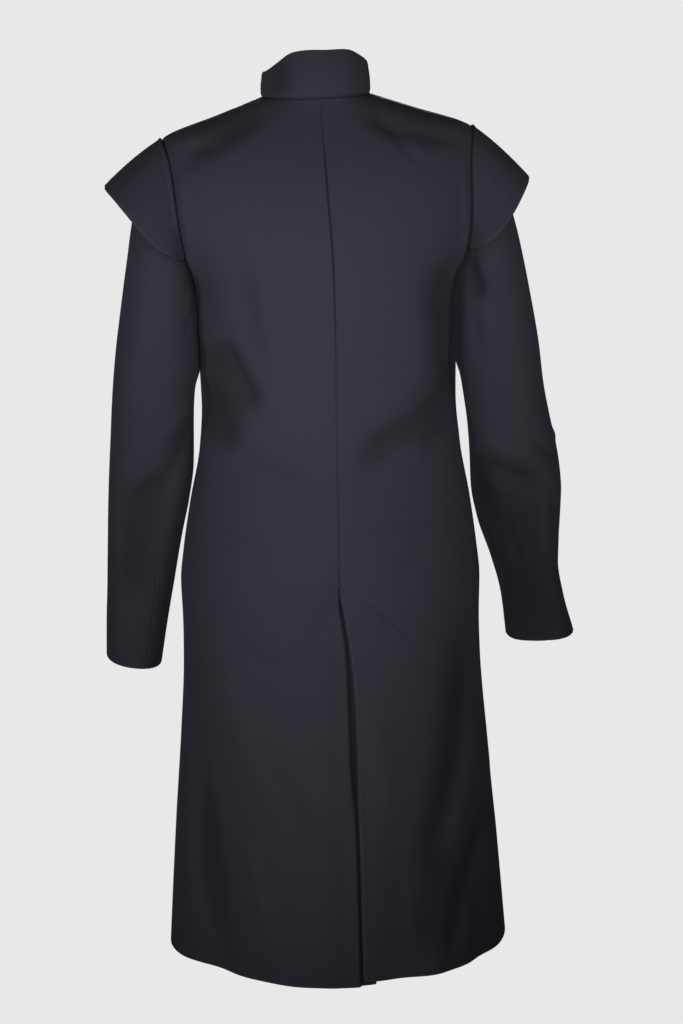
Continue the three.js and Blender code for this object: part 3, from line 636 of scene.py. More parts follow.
def panel_rows():
    """Rows of a panel: 0 is its top edge, 1 the underarm and 2 the hem."""
    near = [math.sqrt(4 * d / UPPER_HEIGHT) / math.pi for d in NEAR_EDGE]
    upper = np.linspace(near[-1], 1, UPPER_ROWS)[1:]
    long = BACK_LENGTH + UNDERARM_Z
    hem = [2 - d / long for d in NEAR_HEM]
    lower = np.linspace(1, hem[0], round(long / ROW_STEP))[1:-1]
    return np.concatenate([near, upper, lower, hem])


def shoulder_z(x):
    """Height of the shoulder seam, where the body is as wide as x."""
    low = np.full(np.shape(x), float(SHOULDER_TIP_Z))
    high = np.full(np.shape(x), float(NECK_SIDE_Z))
    for _ in range(40):
        middle = (low + high) / 2
        wide = body_half(middle) > x
        low, high = np.where(wide, middle, low), np.where(wide, high, middle)
    return low


def fold_lift(face, x, z):
    """How far the body's largest folds lift the cloth."""
    lift = np.zeros(np.broadcast(x, z).shape)
    for side, (x0, z0), (x1, z1), width, height in FOLDS:
        if side == face:
            f = (z - z0) / (z1 - z0)
            lift += height * smooth(f, 0, FOLD_FULL) * bell(x - lerp(x0, x1, f), width) * (f > 0)
    return lift * (1 - smooth(np.abs(x) / body_half(z), FOLD_FADES, 1))


def panel_grid(face, hem_centre, hem_lift, edge, lap=None):
    """x and z of a panel's grid on its own side. lap gives x of the columns beyond the edge."""
    j, row = panel_columns()[None, :], panel_rows()[:, None]
    share = j / COLUMNS
    hem_z = lerp(hem_centre, HEM_SIDE, share**2) + hem_lift * np.sin(share * math.pi)
    base = np.sin(share * math.pi / 2) ** (2 / body_square(UNDERARM_Z))
    neck_x = NECK_HALF * np.sin(np.minimum(j / NECK_COLUMNS, 1) * math.pi / 2)
    out_x = lerp(NECK_HALF, SHOULDER_TIP_X, (j - NECK_COLUMNS) / (COLUMNS - NECK_COLUMNS))
    on_neck = j <= NECK_COLUMNS
    top_x = np.where(on_neck, neck_x, out_x)
    top_z = np.where(on_neck, neckline_z(face, neck_x), shoulder_z(np.maximum(out_x, NECK_HALF)))
    up = (1 + np.cos(np.minimum(row, 1) * math.pi)) / 2
    z = np.where(row >= 1, lerp(UNDERARM_Z, hem_z, row - 1), lerp(UNDERARM_Z, top_z, up))
    side = np.where(z > SHOULDER_TIP_Z, SHOULDER_TIP_X, armhole_x(np.minimum(z, SHOULDER_TIP_Z)))
    side = np.where(row >= 1, body_half(z), side)
    x = np.where(row >= 1, base, lerp(base, top_x / SHOULDER_TIP_X, up)) * side
    start = edge(z)
    x = start + x * (1 - start / side[:, -1:])
    if lap:
        lap_x = lap(z[:, :1])
        lap_z = np.where(row < 1, lerp(UNDERARM_Z, neckline_z(face, lap_x), up), z[:, :1])
        x, z = np.concatenate([lap_x, x], axis=1), np.concatenate([lap_z + 0 * lap_x, z], axis=1)
    return x, z


def body_wall(face, x, z, rise, roll, at_armhole, thickness):
    """Outer and inner face of the cloth; both keep to their own side of the side seam.

    roll is how deep an edge turns in. At the armhole it turns in along the seam's own plane.
    """
    p = body_point(face, x, z)
    normal = body_normal(face, p)
    level = normal.copy()
    level[..., 0] *= 1 - at_armhole
    outer = p + normal * rise[..., None] - unit(level) * roll[..., None]
    inner = outer - normal * np.broadcast_to(thickness, x.shape)[..., None]
    for q in (outer, inner):
        q[..., 1] = seam_y(z) + face * np.maximum(face * (q[..., 1] - seam_y(z)), -SEAM_PRESS)
    return outer, inner


def centre_seam_shows(z):
    """How strongly the centre seam shows: most between the shoulder blades."""
    below, between, lost_at_collar = 0.5, 1.4, 0.6
    blades, collar = (-330, -190), (-90, -30)
    return lerp(below, between, smooth(z, *blades)) * (1 - lost_at_collar * smooth(z, *collar))


def panel_seams(z, from_left, from_right, from_top, centre):
    """How strongly a panel's seams show: down the centre, at the side and along the top."""
    width = bpy.context.scene.coat_cloth.seam_width * 1000
    down_centre = bell(from_left, width) * centre * centre_seam_shows(z)
    at_side = bell(from_right, width * np.where(z > UNDERARM_Z, ARMHOLE_SEAM_WIDTH, 1))
    return np.maximum(np.maximum(down_centre, at_side), bell(from_top, width))


def armhole_ease(from_right, z):
    """Cloth eased into the armhole stands up a little beside it."""
    height = EASE_HEIGHT * bell(from_right - EASE_AT, EASE_WIDTH)
    return height * smooth(z, *EASE_BEGINS) * (1 - smooth(z, *EASE_ENDS))


def make_panel(name, face, side, grid, extra_rise, lap_fold, on_centre=None, shaded=None):
    """One body panel. on_centre gives how much of the first column is a seam, by height."""
    cloth = bpy.context.scene.coat_cloth
    x, z = grid
    flat = body_point(face, x, z)
    from_left, from_top = arc_across(flat), arc_down(flat)
    from_right = from_left[:, -1:] - from_left
    to_hem = from_top[-1:] - from_top
    centre = on_centre(z) if on_centre else 0
    free = (1 - centre) * np.ones_like(x)
    seams = panel_seams(z, from_left, from_right, from_top, centre)

    creases = BACK_CREASES if face > 0 else FRONT_CREASES
    free_lift = cloth.creasing * crease_lift(side * x, z, creases)
    beside = smooth(from_right, *SIDE_HOLDS)
    held = beside * smooth(from_top, *SHOULDER_HOLDS)
    rise = fold_lift(face, side * x, z) + extra_rise(x, z) + free_lift * held
    rise += armhole_ease(from_right, z)

    thick = hem_thickness(cloth, to_hem, cloth.hem_turn * 1000)
    thick += FACING_LAYER * free * (1 - smooth(from_left, *FACING_ENDS))
    thick = np.minimum(thick, cloth.thickness * 1000 + HEM_LAYER)
    thick = thin_at_seams(thick, cloth, seams)
    at_armhole = bell(from_right, ARMHOLE_REACH) * (z > UNDERARM_Z - 4)
    roll = cloth.seam_depth * 1000 * seams
    outer, inner = body_wall(face, side * x, z, rise, roll, at_armhole, thick)
    # Past the neck the top edge is the shoulder seam, and is pressed as the side is.
    from_side = np.minimum(from_right, np.where(x > NECK_HALF, from_top, BACK_LENGTH))
    press = SEAM_PRESS * bell(from_side, SEAM_PRESS_REACH) * (1 - at_armhole)
    for q in (outer, inner):
        q[..., 1] -= face * press
    HEM_PATHS.append(hem_path(inner, to_hem, cloth.hem_turn * 1000))

    # The hem and the vent's free edge are lightened as wear and as a painted highlight.
    on_edge = EDGE_RUB_HIGHLIGHT * bell(from_left, EDGE_RUB_HIGHLIGHT_WIDTH) * free
    rub_highlight = np.maximum(HEM_RUB_HIGHLIGHT * bell(to_hem, HEM_RUB_HIGHLIGHT_WIDTH), on_edge)
    # Painted shade: the cloth is darkened in colour in its seams, in hollows and in the vent's valley.
    shade = np.maximum(seams, hollow_shade(free_lift * beside))
    if shaded:
        shade = np.maximum(shade, VALLEY_SHADE * shaded(x, z))
    finish_piece(name, outer, inner, cloth_marks(outer, shade, rub_highlight), (0, 1, lap_fold, 0))


# ---- the vent and the front lap ---------------------------------------------------------
def vent_edge(z):
    """How far the vent's free edge has swung from the centre, by height."""
    along = np.clip((VENT_TOP - z) / (VENT_TOP - VENT_SWUNG_AT), 0, 1)
    return VENT_SWING * (1 - (1 - along) ** 2.3)


def vent_sewn(z):
    """How much of the centre is sewn, by height: all above the vent and nothing beside it."""
    return smooth(z[:, :1], VENT_TOP - 8, VENT_TOP + 6)


def vent_underlap(z):
    """Columns of the underlap, from its free edge to the centre."""
    reach = lerp(UNDERLAP_HEM, UNDERLAP_TOP, smooth(z, -BACK_LENGTH, VENT_TOP))
    reach = reach * (1 - smooth(z, VENT_TOP - 46, VENT_TOP + 8))
    return -reach * np.linspace(1, 0, 18)[None, :-1] - SEAM_PRESS


def vent_valley(x, z):
    """The shaded valley along the free edge that lies over the underlap."""
    below, above, less_at_top, less_at_hem = 8.5, 4.5, 3.6, 5
    wide = lerp(below, above, smooth(z, -740, -640)) - less_at_top * smooth(z, -616, VENT_TOP)
    wide = wide - less_at_hem * smooth(-z, 790, 900)
    start = vent_edge(z) - wide
    deep = smooth(-x, start - 2.5, start + 1.5)
    return deep * (1 - smooth(z, VENT_TOP - 6, VENT_TOP))


def vent_sunk(x, z):
    """The underlap and the cloth beside it lie deeper than the edge that covers them."""
    below = 1 - smooth(z, VENT_TOP, VENT_DIP_START)
    flat = VENT_SINK * (1 - smooth(x, 0, VENT_SINK_WIDTH))
    return -(flat + VALLEY_DEPTH * vent_valley(x, z)) * below


def vent_rolled(x, z):
    """The vent's free edge is pressed and stands up a little."""
    roll = VENT_ROLL * bell(x - vent_edge(z) - EDGE_ROLL_AT, EDGE_ROLL_AT)
    return roll * (1 - smooth(z, VENT_TOP - 40, VENT_TOP))


def front_lap(z):
    """Columns of a front's lap past the centre, closer at its edge."""
    edge = LAP_COLUMNS - np.array([0, 0.03, 0.07])
    k = np.concatenate([edge, np.linspace(LAP_COLUMNS, 0, 19)[1:-1]])
    return -NECK_HALF * np.sin(k / NECK_COLUMNS * math.pi / 2) + 0 * z


def front_under(x, z):
    """The left front lies a little deeper under the lap."""
    return -LAP_SINK * (1 - smooth(x, LAP_HALF, LAP_HALF + LAP_SINK_WIDTH))


def front_over(x, z):
    """The lap's edge is pressed and stands up a little."""
    return FRONT_ROLL * bell(x + LAP_HALF - EDGE_ROLL_AT, EDGE_ROLL_AT)


# ---- materials --------------------------------------------------------------------------
def hex_colour(code):
    """A linear colour from an sRGB hex value."""
    parts = [int(code[i : i + 2], 16) / 255 for i in (1, 3, 5)]
    return [c / 12.92 if c <= 0.04045 else ((c + 0.055) / 1.055) ** 2.4 for c in parts]


def add_node(tree, kind, settings=None, inputs=None, links=None):
    """Adds a node with its settings, its input values and its links."""
    node = tree.nodes.new(kind)
    for key, value in (settings or {}).items():
        setattr(node, key, value)
    for key, value in (inputs or {}).items():
        node.inputs[key].default_value = value
    for key, socket in (links or {}).items():
        tree.links.new(socket, node.inputs[key])
    return node


def new_material(name):
    material = bpy.data.materials.new(name)
    material.use_nodes = True
    material.node_tree.nodes.clear()
    return material, material.node_tree


def gabardine():
    """Piece-dyed wool gabardine: a hard, steep twill, pressed flat, which looks matt and even."""
    found = bpy.data.materials.get("wool gabardine, pressed")
    if found:
        return found
    material, tree = new_material("wool gabardine, pressed")
    colours = bpy.context.scene.coat_colours
    grain = add_node(tree, "ShaderNodeAttribute", {"attribute_name": "grain"}).outputs["Vector"]
    where = add_node(tree, "ShaderNodeTexCoord").outputs["Object"]
    # The real twill has 0.5 mm between its ribs, too fine to show; it is drawn at 1.8 mm.
    steep = add_node(
        tree,
        "ShaderNodeMapping",
        {"vector_type": "POINT"},
        {"Rotation": (0, 0, math.radians(27))},
        {"Vector": grain},
    ).outputs["Vector"]
    twill = add_node(
        tree,
        "ShaderNodeTexWave",
        {"wave_type": "BANDS", "bands_direction": "X", "wave_profile": "SIN"},
        {"Scale": 2 * math.pi / 20 / 0.0018, "Distortion": 1.4, "Detail": 2, "Detail Scale": 2},
        {"Vector": steep},
    ).outputs["Fac"]
    yarn = add_node(
        tree, "ShaderNodeTexNoise", {}, {"Scale": 420, "Detail": 3, "Roughness": 0.6}, {"Vector": grain}
    ).outputs["Fac"]
    # Dye takes a little unevenly over a hand's width.
    cloud = add_node(
        tree, "ShaderNodeTexNoise", {}, {"Scale": 9, "Detail": 3, "Roughness": 0.55}, {"Vector": where}
    ).outputs["Fac"]
    rib = add_node(
        tree, "ShaderNodeMath", {"operation": "MULTIPLY_ADD"}, {1: 0.45}, {0: twill, 2: yarn}
    ).outputs[0]
    fine = add_node(
        tree,
        "ShaderNodeMapRange",
        {},
        {"From Min": 0.35, "From Max": 1.1, "To Min": 0.0, "To Max": 1.0},
        {"Value": rib},
    ).outputs["Result"]
    weave = add_node(
        tree,
        "ShaderNodeMix",
        {"data_type": "RGBA"},
        {"A": [*hex_colour("#1d1c23"), 1], "B": [*hex_colour("#3a3946"), 1]},
        {"Factor": fine},
    ).outputs["Result"]
    tint = add_node(
        tree,
        "ShaderNodeMapRange",
        {},
        {"From Min": 0.3, "From Max": 0.7, "To Min": 0.0, "To Max": 0.5},
        {"Value": cloud},
    ).outputs["Result"]
    dyed = add_node(
        tree,
        "ShaderNodeMix",
        {"data_type": "RGBA"},
        {"B": [*colours.cloth, 1]},
        {"Factor": tint, "A": weave},
    ).outputs["Result"]
    # Painted shade: the cloth colour is mixed towards a dark colour in seams, hollows, the vent's valley
    # and under the wings.
    shade = add_node(tree, "ShaderNodeAttribute", {"attribute_name": "seam_shade"}).outputs["Fac"]
    painted_shade_factor = add_node(
        tree, "ShaderNodeMath", {"operation": "MULTIPLY"}, {1: 0.55}, {0: shade}
    ).outputs[0]
    # sewn is the cloth colour with its painted shade mixed in.
    sewn = add_node(
        tree,
        "ShaderNodeMix",
        {"data_type": "RGBA"},
        {"B": [*colours.seam, 1]},
        {"Factor": painted_shade_factor, "A": dyed},
    ).outputs["Result"]
    # Rubbed pressed folds are lightened, partly as wear and partly as a painted highlight.
    rub_highlight = add_node(tree, "ShaderNodeAttribute", {"attribute_name": "edge_wear"}).outputs["Fac"]
    on_edge = add_node(
        tree, "ShaderNodeMath", {"operation": "MULTIPLY"}, {1: 0.4}, {0: rub_highlight}
    ).outputs[0]
    with_highlight = add_node(
        tree,
        "ShaderNodeMix",
        {"data_type": "RGBA"},
        {"B": [*colours.rubbed_fold_highlight, 1]},
        {"Factor": on_edge, "A": sewn},
    ).outputs["Result"]
    rough = add_node(
        tree,
        "ShaderNodeMapRange",
        {},
        {"From Min": 0.3, "From Max": 0.8, "To Min": 0.78, "To Max": 0.9},
        {"Value": yarn},
    ).outputs["Result"]
    bump = add_node(
        tree, "ShaderNodeBump", {}, {"Strength": 0.35, "Distance": 0.0003}, {"Height": rib}
    ).outputs["Normal"]
    cloth = add_node(
        tree,
        "ShaderNodeBsdfPrincipled",
        {},
        {
            "Specular IOR Level": 0.3,
            "Sheen Weight": 0.08,
            "Sheen Roughness": 0.5,
            "Sheen Tint": [*hex_colour("#8c8aa0"), 1],
        },
        {"Base Color": with_highlight, "Roughness": rough, "Normal": bump},
    ).outputs["BSDF"]
    add_node(tree, "ShaderNodeOutputMaterial", {}, {}, {"Surface": cloth})
    return material


def sewing_thread():
    """Core-spun polyester thread: a smooth, tight twist with a dull silky shine."""
    found = bpy.data.materials.get("core-spun sewing thread")
    if found:
        return found
    material, tree = new_material("core-spun sewing thread")
    colours = bpy.context.scene.coat_colours
    where = add_node(tree, "ShaderNodeTexCoord").outputs["Object"]
    # A thread's plies turn about once in 1 mm.
    plies = add_node(
        tree, "ShaderNodeTexNoise", {}, {"Scale": 1000, "Detail": 2}, {"Vector": where}
    ).outputs["Fac"]
    twist = add_node(
        tree,
        "ShaderNodeMix",
        {"data_type": "RGBA"},
        {"A": [*hex_colour("#0d0c11"), 1], "B": [*colours.seam, 1]},
        {"Factor": plies},
    ).outputs["Result"]
    bump = add_node(
        tree, "ShaderNodeBump", {}, {"Strength": 0.3, "Distance": 0.0001}, {"Height": plies}
    ).outputs["Normal"]
    thread = add_node(
        tree,
        "ShaderNodeBsdfPrincipled",
        {},
        {"Roughness": 0.5, "Specular IOR Level": 0.35},
        {"Base Color": twist, "Normal": bump},
    ).outputs["BSDF"]
    add_node(tree, "ShaderNodeOutputMaterial", {}, {}, {"Surface": thread})
    return material


# ---- settings ---------------------------------------------------------------------------
class CoatCloth(bpy.types.PropertyGroup):
    """Sizes of the cloth and of its sewing."""

    thickness: FloatProperty(
        name="Cloth", description="Thickness of the fused cloth", default=0.0018, subtype="DISTANCE"
    )
    double: FloatProperty(
        name="Double cloth",
        description="Thickness of two layers, turned out and pressed",
        default=0.0032,
        subtype="DISTANCE",
    )
    seam_depth: FloatProperty(
        name="Seam depth",
        description="How deep the cloth turns in at a seam",
        default=0.0012,
        subtype="DISTANCE",
    )
    seam_width: FloatProperty(
        name="Seam width",
        description="How wide the cloth turns in at a seam",
        default=0.0012,
        subtype="DISTANCE",
    )
    hem_turn: FloatProperty(
        name="Hem", description="Depth of the turned-up hem", default=0.038, subtype="DISTANCE"
    )
    creasing: FloatProperty(
        name="Creasing",
        description="Strength of the creases placed by hand",
        default=1.0,
        subtype="FACTOR",
    )


class CoatColours(bpy.types.PropertyGroup):
    """Colours of the cloth, of its painted shade and of its rubbed folds with their painted highlight."""

    cloth: FloatVectorProperty(
        name="Cloth",
        description="Dyed colour of the gabardine",
        default=hex_colour("#2b2a34"),
        subtype="COLOR",
    )
    # The dark colour that paints shade into seams, hollows, the vent's valley and under the wings; the
    # sewing thread is twisted from it too.
    seam: FloatVectorProperty(
        name="Seam",
        description="Colour of the cloth down in a seam",
        default=hex_colour("#131218"),
        subtype="COLOR",
    )
    # The lighter colour of rubbed folds, which also serves as their painted highlight.
    rubbed_fold_highlight: FloatVectorProperty(
        name="Worn edge",
        description="Colour of a pressed fold that has been rubbed",
        default=hex_colour("#3d3c47"),
        subtype="COLOR",
    )


class CoatStudio(bpy.types.PropertyGroup):
    """Light and floor of the studio."""

    key_power: FloatProperty(
        name="Key", description="Power of the main light", default=240.0, unit="POWER"
    )
    left_power: FloatProperty(
        name="Left", description="Power of the light at the back, left", default=115.0, unit="POWER"
    )
    right_power: FloatProperty(
        name="Right", description="Power of the light at the back, right", default=84.0, unit="POWER"
    )
    collar_power: FloatProperty(
        name="Collar", description="Power of the light on the collar", default=95.0, unit="POWER"
    )
    skirt_power: FloatProperty(
        name="Skirt",
        description="Power of the light on the left of the skirt",
        default=44.0,
        unit="POWER",
    )
    front_power: FloatProperty(
        name="Front",
        description="Power of the light on the side that faces away",
        default=170.0,
        unit="POWER",
    )
    ambient: FloatProperty(
        name="Ambient", description="Strength of the light from all round", default=0.06
    )
    floor_z: FloatProperty(
        name="Floor", description="Height of the floor", default=-1.45, subtype="DISTANCE"
    )


# ---- operators --------------------------------------------------------------------------
class COAT_OT_backs(bpy.types.Operator):
    """Cut and shape both back panels, with the centre vent"""

    bl_idname = "coat.backs"
    bl_label = "Back panels"

    def execute(self, context):
        left = panel_grid(
            BACK, -BACK_LENGTH, HEM_LIFT_LEFT, lambda z: 0 * z - SEAM_PRESS, vent_underlap
        )
        make_panel("back_left", BACK, LEFT, left, vent_sunk, 1, vent_sewn, vent_valley)
        right = panel_grid(BACK, -BACK_LENGTH + VENT_LIFT, HEM_LIFT_RIGHT, vent_edge)
        folded = 1 - vent_sewn(right[1])[:, 0]
        make_panel("back_right", BACK, RIGHT, right, vent_rolled, folded, vent_sewn)
        return {"FINISHED"}


class COAT_OT_fronts(bpy.types.Operator):
    """Cut and shape both fronts; the right one laps over the left"""

    bl_idname = "coat.fronts"
    bl_label = "Fronts"

    def execute(self, context):
        for name, side, rise in (
            ("front_left", LEFT, front_under),
            ("front_right", RIGHT, front_over),
        ):
            grid = panel_grid(FRONT, HEM_FRONT, 0, lambda z: 0 * z, front_lap)
            make_panel(name, FRONT, side, grid, rise, 1)
        return {"FINISHED"}


def armhole_point(turn):
    """The place on the armhole seam at a turn from the shoulder line towards the back."""
    z = lerp(UNDERARM_Z, SHOULDER_TIP_Z, (1 + np.cos(turn)) / 2)
    face = np.where(np.sin(turn) >= 0, BACK, FRONT)
    return body_point(face, armhole_x(z), z)


def armhole_rise(turn):
    """The way out of the armhole, in the seam's own plane."""
    return unit(stack(0, 1.5 * np.sin(turn), np.cos(turn)))


def sleeve_surface(sections):
    """A sleeve's surface by the turn round the arm and the row down it."""
    in_x, in_z, out_x, out_z, deep, mid_y, bend = (curve(sections, k) for k in range(1, 8))

    def rounded(t):
        return np.sign(t) * np.abs(t) ** (2 / SLEEVE_SQUARE)

    def section(turn, v):
        out = (1 + rounded(np.cos(turn))) / 2
        back = rounded(np.sin(turn)) * deep(v)
        tip = np.radians(bend(v))
        return stack(
            ARMHOLE_GAP + lerp(in_x(v), out_x(v), out),
            mid_y(v) + back * np.cos(tip),
            lerp(in_z(v), out_z(v), out) - back * np.sin(tip),
        )

    def surface(turn, v):
        fade = np.maximum(1 - v / ARMHOLE_FADE, 0) ** 2
        covered = smooth(np.cos(turn), *SLEEVE_COVERED)
        seam = armhole_point(turn) - armhole_rise(turn) * (SLEEVE_SINK * covered)[..., None]
        seam[..., 0] += ARMHOLE_GAP
        return section(turn, v) + (seam - section(turn, 0 * v)) * fade[..., None]

    return surface


def sleeve_rows():
    """Rows of a sleeve from the armhole to the cuff, closer at both ends."""
    upper = np.array([0, 0.02, 0.04, 0.07, 0.11, 0.16, 0.22, 0.3])
    lower = SLEEVE_END - np.array([0.12, 0.07, 0.04, 0.015, 0])
    return np.concatenate([upper, np.linspace(0.3, lower[0], 205)[1:-1], lower])


def sleeve_columns(count):
    """Shares of the way round a sleeve piece, closer at both seams."""
    edge = np.array([0, 0.003, 0.007, 0.012, 0.018, 0.026, 0.036])
    return np.concatenate([edge, np.linspace(edge[-1], 1 - edge[-1], count)[1:-1], 1 - edge[::-1]])


Wing = namedtuple("Wing", "share thick foot way long")


def wing_outline(side, turn):
    """Share of its full size, thickness, lift, direction and length of the wing at each turn."""
    cloth = bpy.context.scene.coat_cloth
    share = np.cos(np.minimum(np.abs(turn) / math.radians(WING_END), 1) * math.pi / 2)
    thick = lerp(cloth.thickness, cloth.double, smooth(share, 0, 0.4)) * 1000
    degrees = np.degrees(np.abs(turn))
    spread = np.sign(turn) * wing_spread(degrees)
    way = unit(stack(1, spread, -wing_fall(degrees) - WING_FALL[side]))
    foot = wing_clear(degrees) + thick - SLEEVE_SINK
    long = WING_REACH[side] * np.maximum(share, 0) ** 0.85 + WING_INTO_SEAM
    return Wing(share, thick, foot, way, long)


def wing_shadow(side, turn, p):
    """How much painted shadow the sleeve gets just under the fold of the wing."""
    below = np.zeros(p.shape[:-1])
    for half in (1, -1):
        round_it = half * np.radians(np.linspace(WING_END, 1, 90))
        wing = wing_outline(side, round_it)
        fold = armhole_point(round_it) + armhole_rise(round_it) * wing.foot[..., None]
        fold += wing.way * wing.long[..., None]
        fold[..., 0] += ARMHOLE_GAP
        fold_z = np.interp(p[..., 0], np.maximum.accumulate(fold[..., 0]), fold[..., 2])
        below = np.where(half * np.sin(turn) >= 0, fold_z - p[..., 2], below)
    dark = WING_SHADE * (1 - smooth(below, *WING_SHADE_ENDS))
    return dark + WING_FAINT * (1 - smooth(below, *WING_FAINT_ENDS))


def rest_on_body(turn, p):
    """The hanging arm rests against the side of the body."""
    beside = smooth(-np.cos(turn), *ARM_INSIDE) * smooth(p[..., 2], *ARM_PRESS_BEGINS)
    p[..., 0] -= ARM_PRESS * beside * (1 - smooth(p[..., 2], *ARM_PRESS_ENDS))
    return p


def inward(normal, level):
    """The way to the inside of a sleeve or wing; level 0 keeps it from leaning to the body."""
    way = -normal
    way[..., 0] = np.where(way[..., 0] < 0, way[..., 0] * level, way[..., 0])
    return unit(way)


def on_side(side, outer, inner):
    """Turns a wall made for the left arm to its own side."""
    for q in (outer, inner):
        q[..., 0] *= side
    return outer, inner


def sleeve_units(creases):
    """Sleeve creases with their turn in degrees made into millimetres round the arm."""
    return [([(a * ARM_DEGREE, z) for a, z in points], *rest) for points, *rest in creases]


def make_sleeve(name, side, sections, start, stop, count, creases):
    """One piece of a sleeve, from its seam at start round to its seam at stop."""
    cloth = bpy.context.scene.coat_cloth
    surface = sleeve_surface(sections)
    v = sleeve_rows()[:, None]
    share = sleeve_columns(count)[None, :]
    step = 0.02
    past_seam = surface(start(v) + step, v) - surface(start(v) - step, v)
    press = SEAM_PRESS / (np.linalg.norm(past_seam, axis=-1) / (2 * step))
    turn = lerp(start(v) - press, stop(v) + press, share)
    p = rest_on_body(turn, surface(turn, v + 0 * share))
    normal = -grid_normal(p)

    from_left, from_top = arc_across(p), arc_down(p)
    from_right, to_cuff = from_left[:, -1:] - from_left, from_top[-1:] - from_top
    width = cloth.seam_width * 1000
    long_seam = np.maximum(bell(from_left, width), bell(from_right, width))
    head_seam = bell(from_top, width)
    forearm = smooth(v, *FOREARM_ROWS)
    seams = np.maximum(long_seam * FOREARM_SEAM_SHOWS * forearm, head_seam)

    degrees = (np.degrees(turn) + 180) % 360 - 180
    lift = cloth.creasing * crease_lift(degrees * ARM_DEGREE, p[..., 2], sleeve_units(creases))
    # Painted shade in seams and hollows, and painted shadow under the fold of the wing.
    shade = np.maximum(seams, np.maximum(hollow_shade(lift), wing_shadow(side, turn, p)))
    rise = lift * smooth(from_top, *SLEEVE_HEAD_HOLDS)

    level = smooth(v, 0, 0.4)
    inset = normal.copy()
    inset[..., 0] *= level
    roll = lerp(*FOREARM_SEAM_ROLLS, forearm) * long_seam + 0.8 * head_seam
    roll = cloth.seam_depth * 1000 * roll
    outer = p + normal * rise[..., None] - unit(inset) * roll[..., None]
    outer[..., 0] -= (ARMHOLE_GAP + TUCKED_BACK) * bell(from_top, 1.5)
    thick = thin_at_seams(hem_thickness(cloth, to_cuff, CUFF_TURN), cloth, seams)
    inner = outer + inward(normal, level) * thick[..., None]
    outer, inner = on_side(side, outer, inner)
    CUFF_PATHS.append(hem_path(inner, to_cuff, CUFF_TURN))
    # The cuff's fold is lightened as wear and as a painted highlight.
    marks = cloth_marks(outer, shade, HEM_RUB_HIGHLIGHT * bell(to_cuff, HEM_RUB_HIGHLIGHT_WIDTH))
    finish_piece(name, outer, inner, marks, (0, 1, 0, 0))


class COAT_OT_sleeves(bpy.types.Operator):
    """Cut and shape the two-piece sleeves"""

    bl_idname = "coat.sleeves"
    bl_label = "Sleeves"

    def execute(self, context):
        for side, name, sections, creases in (
            (LEFT, "left", LEFT_SLEEVE, LEFT_SLEEVE_CREASES),
            (RIGHT, "right", RIGHT_SLEEVE, RIGHT_SLEEVE_CREASES),
        ):

            def hindarm(v, at_cuff=HINDARM_AT_CUFF[side]):
                return np.radians(lerp(HINDARM_AT_ARMHOLE, at_cuff, smooth(v, 4, SLEEVE_END)))

            def forearm(v):
                return np.radians(FOREARM_SEAM) + 0 * v

            def round_again(v):
                return np.radians(360 + FOREARM_SEAM) + 0 * v

            for part, start, stop, count in (
                ("top", forearm, hindarm, 62),
                ("under", hindarm, round_again, 40),
            ):
                make_sleeve(f"{part}_sleeve_{name}", side, sections, start, stop, count, creases)
        return {"FINISHED"}


def make_wing(name, side):
    """One wing: a fold of cloth that stands out from the armhole seam over the sleeve head."""
    end = math.radians(WING_END)
    turn = np.linspace(-end, end, WING_COLUMNS)[None, :]
    edge = np.array([0, 0.01, 0.02, 0.035, 0.055, 0.08])
    f = np.concatenate([edge, np.linspace(edge[-1], 0.97, 40)[1:], [0.985, 1]])[:, None]
    wing = wing_outline(side, turn)
    reach = (wing.long - WING_INTO_SEAM) / WING_REACH[side]
    lift = wing.foot + 4 * WING_CROWN * f * (1 - f) * reach
    p = armhole_point(turn) + armhole_rise(turn) * lift[..., None]
    p[..., 0] += ARMHOLE_GAP
    p = p + wing.way * (wing.long * f)[..., None]
    normal = -grid_normal(p)

    # The cloth stands up in a low ridge beside the seam, and tucks into it.
    from_seam = wing.long * f
    to_fold = wing.long - from_seam
    ridge = WING_RIDGE * bell(from_seam - WING_RIDGE_AT, WING_RIDGE_WIDTH)
    outer = p + normal * (ridge * smooth(wing.share, 0.1, 0.5))[..., None]
    tucked = bell(from_seam, 0.9)
    outer -= (armhole_rise(turn) + 0 * p) * (TUCKED_DOWN * tucked)[..., None]
    outer[..., 0] -= (ARMHOLE_GAP + TUCKED_BACK) * tucked
    inner = outer + inward(normal, smooth(f, 0, 0.08)) * (wing.thick + 0 * f)[..., None]
    outer, inner = on_side(side, outer, inner)
    # Painted shade along the wing's seam, and wear with a painted highlight along its fold.
    marks = cloth_marks(outer, bell(from_seam, 0.8), WING_RUB_HIGHLIGHT * bell(to_fold, RIM_RUB_HIGHLIGHT_WIDTH))
    finish_piece(name, outer, inner, marks, (0, 1, 1, 1))


class COAT_OT_wings(bpy.types.Operator):
    """Shape the folded wing over each sleeve head"""

    bl_idname = "coat.wings"
    bl_label = "Shoulder wings"

    def execute(self, context):
        make_wing("wing_left", LEFT)
        make_wing("wing_right", RIGHT)
        return {"FINISHED"}


